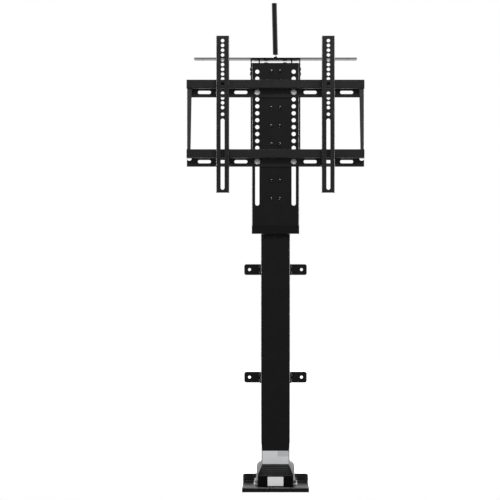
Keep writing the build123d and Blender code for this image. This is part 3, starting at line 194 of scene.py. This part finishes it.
def spread(tree, value, low, high, start=0.3, end=0.7):
    ramp = tree.nodes.new("ShaderNodeMapRange")
    ramp.inputs["From Min"].default_value = start
    ramp.inputs["From Max"].default_value = end
    ramp.inputs["To Min"].default_value = low
    ramp.inputs["To Max"].default_value = high
    tree.links.new(value, ramp.inputs["Value"])
    return ramp.outputs[0]


def two_colours(tree, share, first, second):
    mix = tree.nodes.new("ShaderNodeMix")
    mix.data_type = "RGBA"
    mix.inputs[6].default_value = (*first, 1)
    mix.inputs[7].default_value = (*second, 1)
    tree.links.new(share, mix.inputs[0])
    return mix.outputs[2]


def raised(tree, height, strength, distance, under=None):
    bump = tree.nodes.new("ShaderNodeBump")
    bump.inputs["Strength"].default_value = strength
    bump.inputs["Distance"].default_value = distance
    tree.links.new(height, bump.inputs["Height"])
    if under is not None:
        tree.links.new(under, bump.inputs["Normal"])
    return bump.outputs[0]


def finished(tree, colour, roughness, normal, **fixed):
    shader = tree.nodes.new("ShaderNodeBsdfPrincipled")
    for name, value in fixed.items():
        shader.inputs[name.replace("_", " ")].default_value = value
    tree.links.new(colour, shader.inputs["Base Color"])
    tree.links.new(roughness, shader.inputs["Roughness"])
    tree.links.new(normal, shader.inputs["Normal"])
    out = tree.nodes.new("ShaderNodeOutputMaterial")
    tree.links.new(shader.outputs[0], out.inputs["Surface"])


def rounded_edges(tree, radius):
    edge = tree.nodes.new("ShaderNodeBevel")
    edge.samples = 4
    edge.inputs["Radius"].default_value = radius
    return edge.outputs[0]


def powder_coat(name, dark, light, smooth, rough, peel):
    material, tree = fresh_material(name)
    cloud = surface_noise(tree, scale=30, detail=2)
    grain = surface_noise(tree, scale=1100, detail=2)
    speck = surface_noise(tree, scale=420, detail=1)
    colour = two_colours(tree, spread(tree, speck.outputs[0], 0, 1), dark, light)
    wear = spread(tree, cloud.outputs[0], smooth, rough)
    edge = rounded_edges(tree, radius=0.0005)
    finished(tree, colour, wear, raised(tree, grain.outputs[0], peel, distance=0.00025,
                                        under=edge),
             IOR=1.65)
    return material


def dress(material, *nodes):
    for node in nodes:
        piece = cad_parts[node]
        for place in piece.material_slots:
            place.material = material


black_coat = powder_coat("satin_black_powder_coat", dark=(0.0042, 0.0042, 0.0045),
                         light=(0.0075, 0.0075, 0.008), smooth=0.27, rough=0.31, peel=0.1)
dress(black_coat, "base_plate")


# Cast foot: an aluminium casting that fills the tube's narrowed end and flares out to four
# ears on the tray. It is left as cast, light grey and slightly grainy, and bolted down.
def cast_metal(name, light, dark, metal):
    material, tree = fresh_material(name)
    grain = surface_noise(tree, scale=520, detail=4)
    pits = surface_noise(tree, scale=160, detail=2)
    cloud = surface_noise(tree, scale=22, detail=3)
    colour = two_colours(tree, spread(tree, cloud.outputs[0], 0, 1), light, dark)
    matt = spread(tree, pits.outputs[0], low=0.34, high=0.48)
    skin = raised(tree, pits.outputs[0], strength=0.12, distance=0.0006,
                  under=rounded_edges(tree, radius=0.0006))
    finished(tree, colour, matt, raised(tree, grain.outputs[0], strength=0.25, distance=0.0003,
                                        under=skin),
             Metallic=metal)
    return material


sand_cast = cast_metal("cast_aluminium", light=(0.60, 0.605, 0.61), dark=(0.44, 0.445, 0.45),
                       metal=0.15)
dress(sand_cast, "foot_casting")


# Foot bolts: four M8 hex flange bolts of zinc plated steel, tightened down through the
# casting's ears into hex nuts under the deck. Each stops at its own angle.
def zinc_plate(name, light, dark, smooth, rough, metal=1.0):
    material, tree = fresh_material(name)
    streak = surface_noise(tree, scale=900, detail=3, stretch=(1, 1, 0.25))
    cloud = surface_noise(tree, scale=120, detail=2)
    colour = two_colours(tree, spread(tree, cloud.outputs[0], 0, 1), light, dark)
    sheen = spread(tree, streak.outputs[0], smooth, rough)
    finished(tree, colour, sheen,
             raised(tree, streak.outputs[0], strength=0.1, distance=0.0002,
                    under=rounded_edges(tree, radius=0.0002)),
             Metallic=metal)
    return material


def hex_reach(half_flats, angle):
    return half_flats / math.cos((angle + math.pi / 6) % (math.pi / 3) - math.pi / 6)


def stacked_rings(name, rings, closed_ends=True, around=48):
    """Skins a stack of rings, each a function from an angle to a radius and a height."""
    shape = bmesh.new()
    rows = []
    for ring in rings:
        row = []
        for step in range(around):
            angle = 2 * math.pi * step / around
            radius, height = ring(angle)
            row.append(shape.verts.new((radius * math.cos(angle), radius * math.sin(angle),
                                        height)))
        rows.append(row)
    pairs = list(zip(rows, rows[1:]))
    if not closed_ends:
        pairs.append((rows[-1], rows[0]))
    for low, high in pairs:
        for step in range(around):
            after = (step + 1) % around
            shape.faces.new((low[step], low[after], high[after], high[step]))
    if closed_ends:
        shape.faces.new(list(reversed(rows[0])))
        shape.faces.new(rows[-1])
    mesh = bpy.data.meshes.new(name)
    shape.to_mesh(mesh)
    shape.free()
    return mesh


def fixed_ring(radius, height):
    return lambda angle: (radius, height)


def hex_ring(half_flats, height):
    return lambda angle: (hex_reach(half_flats, angle), height)


def chamfer_ring(half_flats, top, fall=0.58):
    def ring(angle):
        reach = hex_reach(half_flats, angle)
        return reach, top - (reach - half_flats) * fall - 0.00012
    return ring


def flange_bolt_mesh(name, flats, head, flange, flange_height, shank, length, knurl=0.0):
    half = flats / 2
    top = flange_height + head
    ridge = lambda angle: (flange * (1 - knurl * (round(angle * 24 / math.pi) % 2)), 0.0)
    ridge_top = lambda angle: (ridge(angle)[0], flange_height * 0.55)
    if flange > half * 1.16:
        shoulder = fixed_ring(flange * 0.9, flange_height * 0.85)
    else:
        shoulder = hex_ring(half, flange_height * 0.9)
    rings = [
        fixed_ring(shank * 0.82, -length), fixed_ring(shank, -length + shank * 0.18),
        fixed_ring(shank, 0), ridge, ridge_top, shoulder, hex_ring(half, flange_height),
        chamfer_ring(half, top), fixed_ring(half * 0.96, top), fixed_ring(half * 0.78, top),
        fixed_ring(half * 0.7, top - 0.0004), fixed_ring(half * 0.1, top - 0.0004),
    ]
    return stacked_rings(name, rings)


def hex_nut_mesh(name, flats, height, bore):
    half = flats / 2
    low_chamfer = lambda angle: (hex_reach(half, angle),
                                 (hex_reach(half, angle) - half) * 0.58 + 0.00012)
    rings = [
        fixed_ring(bore, 0.0005), fixed_ring(bore + 0.0005, 0), fixed_ring(half * 0.96, 0),
        low_chamfer, chamfer_ring(half, height), fixed_ring(half * 0.96, height),
        fixed_ring(bore + 0.0005, height), fixed_ring(bore, height - 0.0005),
    ]
    return stacked_rings(name, rings, closed_ends=False)


def solids_of(node):
    """Lowest and highest corner of each separate solid of a node."""
    shape = bmesh.new()
    shape.from_mesh(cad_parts[node].data)
    bmesh.ops.remove_doubles(shape, verts=shape.verts, dist=0.00001)
    left, found = set(shape.verts), []
    while left:
        front = [left.pop()]
        island = list(front)
        while front:
            near = [edge.other_vert(vert) for vert in front for edge in vert.link_edges]
            front = [vert for vert in set(near) if vert in left]
            left.difference_update(front)
            island += front
        places = [vert.co for vert in island]
        found.append((Vector(map(min, zip(*places))), Vector(map(max, zip(*places)))))
    shape.free()
    return sorted(found, key=lambda pair: tuple(round(value, 4) for value in pair[0]))


def outward(direction):
    return Vector(direction).to_track_quat("Z", "Y").to_euler()


def seats_of(node, direction, rise):
    """Where each fastener of a node sits: the plane under its head, and the way it faces."""
    seats = []
    for low, high in solids_of(node):
        middle = (low + high) / 2
        way = Vector(direction(middle) if callable(direction) else direction)
        half = sum(abs(a * b) for a, b in zip(way, (high - low) / 2))
        seats.append((middle + way * (half - rise), outward(way)))
    return seats


def seating_tree():
    """Geometry nodes: sets a head on every seat, each turned by its own amount."""
    tree = bpy.data.node_groups.new("fasteners_on_their_seats", "GeometryNodeTree")
    face = tree.interface
    face.new_socket("Seats", in_out="INPUT", socket_type="NodeSocketGeometry")
    face.new_socket("Fastener", in_out="INPUT", socket_type="NodeSocketObject")
    face.new_socket("Largest turn", in_out="INPUT", socket_type="NodeSocketFloat")
    face.new_socket("Seed", in_out="INPUT", socket_type="NodeSocketInt")
    face.new_socket("Finish", in_out="INPUT", socket_type="NodeSocketMaterial")
    face.new_socket("Fasteners", in_out="OUTPUT", socket_type="NodeSocketGeometry")
    new, join = tree.nodes.new, tree.links.new
    given, result = new("NodeGroupInput"), new("NodeGroupOutput")
    fastener = new("GeometryNodeObjectInfo")
    facing = new("GeometryNodeInputNamedAttribute")
    facing.data_type = "FLOAT_VECTOR"
    facing.inputs["Name"].default_value = "facing"
    to_turn = new("FunctionNodeEulerToRotation")
    chance = new("FunctionNodeRandomValue")
    chance.data_type = "FLOAT"
    spin = new("FunctionNodeAxisAngleToRotation")
    spin.inputs["Axis"].default_value = (0, 0, 1)
    both = new("FunctionNodeRotateRotation")
    both.rotation_space = "LOCAL"
    seat = new("GeometryNodeInstanceOnPoints")
    solid = new("GeometryNodeRealizeInstances")
    finish = new("GeometryNodeSetMaterial")
    join(given.outputs["Fastener"], fastener.inputs["Object"])
    join(given.outputs["Seats"], seat.inputs["Points"])
    join(fastener.outputs["Geometry"], seat.inputs["Instance"])
    join(facing.outputs[0], to_turn.inputs[0])
    join(given.outputs["Largest turn"], chance.inputs[3])
    join(given.outputs["Seed"], chance.inputs["Seed"])
    join(chance.outputs[1], spin.inputs["Angle"])
    join(to_turn.outputs[0], both.inputs["Rotation"])
    join(spin.outputs[0], both.inputs["Rotate By"])
    join(both.outputs[0], seat.inputs["Rotation"])
    join(seat.outputs[0], solid.inputs[0])
    join(solid.outputs[0], finish.inputs["Geometry"])
    join(given.outputs["Finish"], finish.inputs["Material"])
    join(finish.outputs[0], result.inputs[0])
    return tree


seating = seating_tree()


def plain_piece(name, mesh, material, slot, body, *nodes):
    """A finished piece at the origin that rides on its body and stands for its nodes."""
    mesh.materials.clear()
    mesh.materials.append(material)
    piece = bpy.data.objects.new(name, mesh)
    bpy.context.scene.collection.objects.link(piece)
    if nodes:
        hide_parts(*nodes)
    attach(piece, body)
    return piece


def seated(name, head_mesh, node, direction, rise, seed, material, slot, body, turn=1.0472):
    """Sets one fastener on every seat of a node, and stands for that node."""
    head_mesh.materials.append(material)
    head = bpy.data.objects.new(name + "_pattern", head_mesh)
    bpy.context.scene.collection.objects.link(head)
    seats = seats_of(node, direction, rise)
    points = bpy.data.meshes.new(name + "_seats")
    points.from_pydata([tuple(place) for place, way in seats], [], [])
    facing = points.attributes.new("facing", "FLOAT_VECTOR", "POINT")
    for number, (place, way) in enumerate(seats):
        facing.data[number].vector = way
    carrier = bpy.data.objects.new(name + "_seats", points)
    bpy.context.scene.collection.objects.link(carrier)
    modifier = carrier.modifiers.new("seating", "NODES")
    modifier.node_group = seating
    values = {"Fastener": head, "Largest turn": turn, "Seed": seed, "Finish": material}
    for socket in seating.interface.items_tree:
        if socket.name in values and socket.in_out == "INPUT":
            modifier[socket.identifier] = values[socket.name]
    graph = bpy.context.evaluated_depsgraph_get()
    mesh = bpy.data.meshes.new_from_object(carrier.evaluated_get(graph))
    mesh.name = name
    for extra in (carrier, head):
        bpy.data.objects.remove(extra)
    plain_piece(name, mesh, material, slot, body, node)


m8_flats = 0.013
zinc = zinc_plate("bright_zinc_plate", light=(0.93, 0.935, 0.94), dark=(0.8, 0.805, 0.81),
                  smooth=0.3, rough=0.46, metal=0.55)
# The foot bolts and nuts get a rougher copy of the same zinc plate whose colour is also painted
# much darker: painted shade that dims their heads under the lamps.
painted_shade_zinc = zinc_plate("zinc_plate_painted_shade", light=(0.30, 0.302, 0.305), dark=(0.22, 0.222, 0.225),
                       smooth=0.34, rough=0.5)
seated("foot_hex_bolts",
       flange_bolt_mesh("m8_hex_head", flats=m8_flats, head=0.0055, flange=0.0065,
                        flange_height=0.0016, shank=0.004, length=0.0125),
       "foot_bolts", direction=(0, 0, 1), rise=0.0071, seed=3, material=painted_shade_zinc,
       slot="zinc_steel", body="root")
seated("foot_hex_nuts", hex_nut_mesh("m8_nut", flats=m8_flats, height=0.0065, bore=0.0041),
       "foot_nuts", direction=(0, 0, 1), rise=0.0065, seed=5, material=painted_shade_zinc,
       slot="zinc_steel", body="root")


# Outer column tube: a rectangular steel tube with its corners rounded by rolling, notched at
# the foot for the casting, powder coated, and held to the casting by four screws behind.
dress(black_coat, "outer_tube")


def black_oxide(name):
    material, tree = fresh_material(name)
    grain = surface_noise(tree, scale=1500, detail=2)
    cloud = surface_noise(tree, scale=300, detail=2)
    colour = two_colours(tree, spread(tree, cloud.outputs[0], 0, 1),
                         (0.012, 0.012, 0.013), (0.028, 0.028, 0.03))
    finished(tree, colour, spread(tree, grain.outputs[0], low=0.26, high=0.4),
             raised(tree, grain.outputs[0], strength=0.12, distance=0.00015), Metallic=0.55)
    return material


def button_head_mesh(name, head, height, shank, length, socket_depth=0.0014):
    half = head * 0.55 * math.cos(math.pi / 6)
    dome = [(1.0, 0.42), (0.975, 0.6), (0.92, 0.76), (0.84, 0.88), (0.74, 0.96), (0.66, 1.0)]
    rings = [fixed_ring(shank * 0.8, -length), fixed_ring(shank, -length + shank * 0.2),
             fixed_ring(shank, 0), fixed_ring(head * 0.985, 0), fixed_ring(head, height * 0.06)]
    rings += [fixed_ring(head * share, height * rise) for share, rise in dome]
    rings += [hex_ring(half * 1.04, height), hex_ring(half, height - 0.0001),
              hex_ring(half, height - socket_depth),
              fixed_ring(half * 0.15, height - socket_depth - 0.0003)]
    return stacked_rings(name, rings)


m5_button = {"head": 0.00475, "height": 0.00275, "shank": 0.0025}
oxide = black_oxide("black_oxide_screw")
seated("column_button_screws",
       button_head_mesh("column_screw", **m5_button, length=0.009),
       "column_screws", direction=(0, 1, 0), rise=m5_button["height"], seed=7, material=oxide,
       slot="black_screw", body="root")


# Rating plate: a bare silver film on the column's foot, pressed on flat. A block at its upper
# right is a shade darker. No print is drawn on it.
def silver_film(name, ground, block, block_left, block_bottom):
    material, tree = fresh_material(name)
    place = tree.nodes.new("ShaderNodeTexCoord")
    split = tree.nodes.new("ShaderNodeSeparateXYZ")
    tree.links.new(place.outputs["Object"], split.inputs[0])
    beside = spread(tree, split.outputs["X"], 0, 1, block_left - 0.0004, block_left + 0.0004)
    above = spread(tree, split.outputs["Z"], 0, 1, block_bottom - 0.0004, block_bottom + 0.0004)
    inside = tree.nodes.new("ShaderNodeMath")
    inside.operation = "MULTIPLY"
    tree.links.new(beside, inside.inputs[0])
    tree.links.new(above, inside.inputs[1])
    brushed = surface_noise(tree, scale=700, detail=2, stretch=(0.1, 1, 1))
    finished(tree, two_colours(tree, inside.outputs[0], ground, block),
             spread(tree, brushed.outputs[0], low=0.36, high=0.5),
             raised(tree, brushed.outputs[0], strength=0.05, distance=0.0001), Metallic=0.15)
    return material


rating_film = silver_film("rating_film", ground=(0.93, 0.94, 0.95), block=(0.70, 0.71, 0.72),
                          block_left=0.0055, block_bottom=0.087)
dress(rating_film, "rating_label")


# Foot cover: a thin moulded shell with a sloping ribbed top, fine spark-eroded texture, held
# by four screws from below the deck. It hides the motor's end and the control board.
def textured_plastic(name, dark, light, smooth, rough, grain_size, depth, gloss=0.45):
    material, tree = fresh_material(name)
    spark = tree.nodes.new("ShaderNodeTexVoronoi")
    spark.inputs["Scale"].default_value = grain_size
    place = tree.nodes.new("ShaderNodeTexCoord")
    tree.links.new(place.outputs["Object"], spark.inputs["Vector"])
    cloud = surface_noise(tree, scale=60, detail=3)
    colour = two_colours(tree, spread(tree, cloud.outputs[0], 0, 1), dark, light)
    finished(tree, colour, spread(tree, cloud.outputs[0], smooth, rough),
             raised(tree, spark.outputs["Distance"], depth, distance=0.0002,
                    under=rounded_edges(tree, radius=0.0006)),
             Specular_IOR_Level=gloss)
    return material


cover_black = textured_plastic("moulded_black_cover", dark=(0.0034, 0.0034, 0.0036),
                               light=(0.0054, 0.0054, 0.0056), smooth=0.3, rough=0.38,
                               grain_size=1500, depth=0.16, gloss=0.1)
dress(cover_black, "control_cover", "socket_block")


def paper_film(name):
    material, tree = fresh_material(name)
    fibre = surface_noise(tree, scale=1300, detail=3)
    colour = two_colours(tree, spread(tree, fibre.outputs[0], 0, 1), (0.93, 0.93, 0.925),
                         (0.97, 0.97, 0.965))
    finished(tree, colour, spread(tree, fibre.outputs[0], low=0.4, high=0.52),
             raised(tree, fibre.outputs[0], strength=0.04, distance=0.0001))
    return material


dress(paper_film("bare_white_label"), "cover_label")
seated("cover_pan_screws", button_head_mesh("cover_screw", head=0.0038, height=0.0024, shank=0.002,
                                            length=0.012),
       "cover_screws", direction=(0, 0, -1), rise=0.0024, seed=11, material=oxide,
       slot="black_screw", body="root")


# Control board: a coated circuit board with relays, capacitors and a chip, on nylon posts
# under the cover. Copper lines show through the green lacquer.
def circuit_board(name, board_top):
    material, tree = fresh_material(name)
    place = tree.nodes.new("ShaderNodeTexCoord")
    split = tree.nodes.new("ShaderNodeSeparateXYZ")
    tree.links.new(place.outputs["Object"], split.inputs[0])
    lines = tree.nodes.new("ShaderNodeTexBrick")
    lines.inputs["Scale"].default_value = 160
    lines.inputs["Mortar Size"].default_value = 0.03
    lines.inputs["Color1"].default_value = (0.012, 0.11, 0.035, 1)
    lines.inputs["Color2"].default_value = (0.014, 0.125, 0.04, 1)
    lines.inputs["Mortar"].default_value = (0.05, 0.3, 0.09, 1)
    tree.links.new(place.outputs["Object"], lines.inputs["Vector"])
    above = spread(tree, split.outputs["Z"], 0, 1, board_top + 0.0001, board_top + 0.0003)
    mix = tree.nodes.new("ShaderNodeMix")
    mix.data_type = "RGBA"
    mix.inputs[7].default_value = (0.025, 0.026, 0.03, 1)
    tree.links.new(above, mix.inputs[0])
    tree.links.new(lines.outputs["Color"], mix.inputs[6])
    grain = surface_noise(tree, scale=900, detail=2)
    finished(tree, mix.outputs[2], spread(tree, grain.outputs[0], low=0.25, high=0.4),
             raised(tree, lines.outputs["Fac"], strength=0.2, distance=0.0001,
                    under=rounded_edges(tree, radius=0.0004)))
    return material


dress(circuit_board("green_circuit_board", 0.0216), "control_board")


# Gear motor: a drawn steel can between a cast end cap and the gearbox housing, which is
# screwed to the casting's top. The spindle's ball bearing sits in the housing's cup.
def turned_steel(name, light, dark, smooth, rough, ring_size):
    material, tree = fresh_material(name)
    rings = surface_noise(tree, ring_size, detail=2, stretch=(0.02, 0.02, 1))
    colour = two_colours(tree, spread(tree, rings.outputs[0], 0, 1), light, dark)
    finished(tree, colour, spread(tree, rings.outputs[0], smooth, rough),
             raised(tree, rings.outputs[0], strength=0.15, distance=0.0001,
                    under=rounded_edges(tree, radius=0.0004)),
             Metallic=1.0)
    return material


bright_steel = turned_steel("turned_bright_steel", light=(0.66, 0.665, 0.67),
                            dark=(0.52, 0.525, 0.53), smooth=0.2, rough=0.34,
                            ring_size=2200)
dress(sand_cast, "motor_end_cap", "gearbox_housing")
dress(bright_steel, "motor_can", "motor_seat", "spindle_bearing", "spindle_coupling",
      "push_tube")
seated("gearbox_button_screws", button_head_mesh("gearbox_screw", **m5_button, length=0.014),
       "gearbox_screws", direction=(0, 0, 1), rise=m5_button["height"], seed=13, material=oxide,
       slot="black_screw", body="root")


# Wall brackets: four small steel angles, powder coated with the column, each screwed to its
# side wall by two screws and open to one wall screw.
dress(black_coat, "lower_left_wall_bracket", "lower_right_wall_bracket",
      "upper_left_wall_bracket", "upper_right_wall_bracket")


def to_its_side(middle):
    return (math.copysign(1, middle.x), 0, 0)


seated("bracket_button_screws",
       button_head_mesh("bracket_screw", **m5_button, length=0.0046),
       "bracket_screws", to_its_side, rise=m5_button["height"], seed=17, material=oxide,
       slot="black_screw", body="root")


# Guide collar, lower glide and glide pad: black nylon mouldings, smoother than the coated
# steel beside them. The collar is pressed over the top of the outer tube.
nylon = textured_plastic("moulded_black_nylon", dark=(0.009, 0.009, 0.0095),
                         light=(0.014, 0.014, 0.0145), smooth=0.24, rough=0.34, grain_size=700,
                         depth=0.08)
dress(nylon, "guide_collar", "lower_glide", "glide_pad", "board_posts", "rod_washer")


# Lift spindle: a rolled trapezoidal thread of 10 mm lead in two starts, carried in the gearbox
# bearing. Its brass nut is pressed into the foot of the push tube.
def threaded_bar(name, crest, depth, pitch, starts, bottom, top, rows=8, around=32):
    """A round bar whose radius follows the thread all the way up, closed at both ends."""
    count = int((top - bottom) / pitch * rows)
    shape = bmesh.new()
    previous, first = None, None
    for level in range(count + 1):
        height = bottom + (top - bottom) * level / count
        end = min(1, (height - bottom) / pitch, (top - height) / pitch)
        row = []
        for step in range(around):
            angle = 2 * math.pi * step / around
            phase = (height / pitch - starts * angle / (2 * math.pi)) % 1
            flank = min(1, max(0, 2.2 * abs(2 * phase - 1) - 0.6))
            radius = crest - depth * flank - depth * (1 - end) * (1 - flank)
            row.append(shape.verts.new((radius * math.cos(angle), radius * math.sin(angle),
                                        height)))
        if previous:
            for step in range(around):
                after = (step + 1) % around
                shape.faces.new((previous[step], previous[after], row[after], row[step]))
        else:
            first = row
        previous = row
    shape.faces.new(list(reversed(first)))
    shape.faces.new(previous)
    mesh = bpy.data.meshes.new(name)
    shape.to_mesh(mesh)
    shape.free()
    return mesh


spindle_low, spindle_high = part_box("spindle")
spindle_mesh = threaded_bar("rolled_spindle", crest=0.0059, depth=0.0013, pitch=0.005, starts=2,
                            bottom=spindle_low.z + 0.0005, top=spindle_high.z)
spindle_mesh.transform(Matrix.Translation(((spindle_low.x + spindle_high.x) / 2,
                                           (spindle_low.y + spindle_high.y) / 2, 0)))
plain_piece("rolled_spindle", spindle_mesh, bright_steel, "bright_steel", "spindle_assembly",
            "spindle")
brass = turned_steel("turned_brass", light=(0.72, 0.50, 0.20), dark=(0.60, 0.41, 0.16),
                     smooth=0.22, rough=0.36, ring_size=1800)
dress(brass, "spindle_nut")


# Inner column tube and top cap: the tube slides in the collar and ends in a thick steel cap,
# on which the carriage hangs from four M6 bolts. All are powder coated but the bolts.
dress(black_coat, "inner_tube", "top_cap")
seated("cap_hex_bolts",
       flange_bolt_mesh("m6_hex_head", flats=0.010, head=0.004, flange=0.006, flange_height=0.001,
                        shank=0.003, length=0.009),
       "top_cap_bolts", direction=(0, 0, 1), rise=0.005, seed=19, material=oxide,
       slot="black_screw", body="lift_carriage")


# Carriage: a folded 2.5 mm steel channel with two rows of punched rail holes, two long slots
# and a set-back lip at its foot. A stiffener is screwed on behind by pairs of small screws.
dress(black_coat, "carriage", "stiffener")
black_zinc = zinc_plate("black_zinc_plate", light=(0.17, 0.17, 0.175), dark=(0.10, 0.10, 0.105),
                        smooth=0.14, rough=0.22)
seated("stiffener_button_screws",
       button_head_mesh("stiffener_screw", **m5_button, length=0.0095),
       "stiffener_screws", direction=(0, -1, 0), rise=m5_button["height"], seed=23,
       material=black_zinc, slot="black_screw", body="lift_carriage")


# Cross rails and side bars: two folded Z sections with slotted webs and an upright front lip,
# tied at their ends by steel angles. Their coat is the column's black coat painted lighter,
# painted light where they stand forward; the side bars' copy is lighter still, a painted
# highlight.
# Rails and arms: the black powder coat with its colour painted about three times lighter, painted
# light.
painted_lighter_coat = powder_coat("black_coat_painted_lighter", dark=(0.013, 0.013, 0.0134),
                           light=(0.018, 0.018, 0.0186), smooth=0.27, rough=0.33, peel=0.1)
dress(painted_lighter_coat, "lower_rail", "upper_rail")
# Side bars: the black powder coat painted lighter still, a painted highlight along their rounded
# edges.
painted_highlight_coat = powder_coat("black_bar_coat_painted_highlight", dark=(0.034, 0.034, 0.035),
                        light=(0.046, 0.046, 0.047), smooth=0.25, rough=0.32, peel=0.1)
dress(painted_highlight_coat, "left_side_bar", "right_side_bar")
seated("rail_flange_bolts",
       flange_bolt_mesh("m8_flange_head", flats=m8_flats, head=0.0039, flange=0.0081,
                        flange_height=0.0016, shank=0.004, length=0.0115, knurl=0.02),
       "rail_bolts", direction=(0, -1, 0), rise=0.0055, seed=29, material=zinc, slot="zinc_steel",
       body="lift_carriage")
seated("rail_hex_nuts", hex_nut_mesh("rail_nut", flats=m8_flats, height=0.0065, bore=0.0041),
       "rail_nuts", direction=(0, 1, 0), rise=0.0065, seed=31, material=zinc, slot="zinc_steel",
       body="lift_carriage")


# Screen arms: two folded channels that hang on the upper rail's lip by their hooks, with a row
# of punched holes and a long slot each. An M5 bolt below the lower rail locks each arm.
# The arms wear the same black coat painted lighter, painted light.
dress(painted_lighter_coat, "left_arm", "right_arm")
dress(oxide, "left_arm_lock_bolt", "right_arm_lock_bolt")


# Lid bracket: a flat lid plate on two long slotted legs, which slide on screws in the
# carriage's sides, and two pins on which the plate rests.
dress(black_coat, "lid_plate", "left_lid_leg", "right_lid_leg", "leg_bridge")
dress(oxide, "stop_pins")
seated("leg_button_screws", button_head_mesh("leg_screw", head=0.00475, height=0.0017,
                                             shank=0.0025, length=0.0061, socket_depth=0.0012),
       "leg_screws", to_its_side, rise=0.0017, seed=37, material=oxide, slot="black_screw",
       body="lift_carriage")


# Push rod: an M8 stud screwed through the lid plate into the bridge, locked by a nut over a
# nylon washer, and a long rubber sleeve, which leans a little to the left.
def soft_rubber(name):
    material, tree = fresh_material(name)
    dust = surface_noise(tree, scale=500, detail=4)
    rings = surface_noise(tree, scale=260, detail=1, stretch=(0.05, 0.05, 1))
    colour = two_colours(tree, spread(tree, dust.outputs[0], 0, 1), (0.0035, 0.0035, 0.0037),
                         (0.007, 0.007, 0.0073))
    finished(tree, colour, spread(tree, dust.outputs[0], low=0.5, high=0.62),
             raised(tree, rings.outputs[0], strength=0.15, distance=0.0003), IOR=1.3)
    return material


dress(soft_rubber("soft_black_rubber"), "rod_sleeve")
stud_lean = math.radians(1.3)
stud_foot = Vector((0, 0.012, 1.183))
stud_reach = (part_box("rod_stud")[1].z - stud_foot.z) / math.cos(stud_lean) - 0.0003
stud_mesh = threaded_bar("m8_stud", crest=0.00398, depth=0.0007, pitch=0.00125, starts=1,
                         bottom=-0.0055, top=stud_reach)
stud_mesh.transform(Matrix.Translation(stud_foot)
                    @ Euler((0, -stud_lean, 0)).to_matrix().to_4x4())
plain_piece("threaded_stud", stud_mesh, zinc, "zinc_steel", "lid_bracket", "rod_stud")
seated("rod_hex_nut", hex_nut_mesh("rod_nut_form", flats=m8_flats, height=0.006, bore=0.0044),
       "rod_nut", direction=(0, 0, 1), rise=0.006, seed=41, material=zinc, slot="zinc_steel",
       body="lid_bracket")
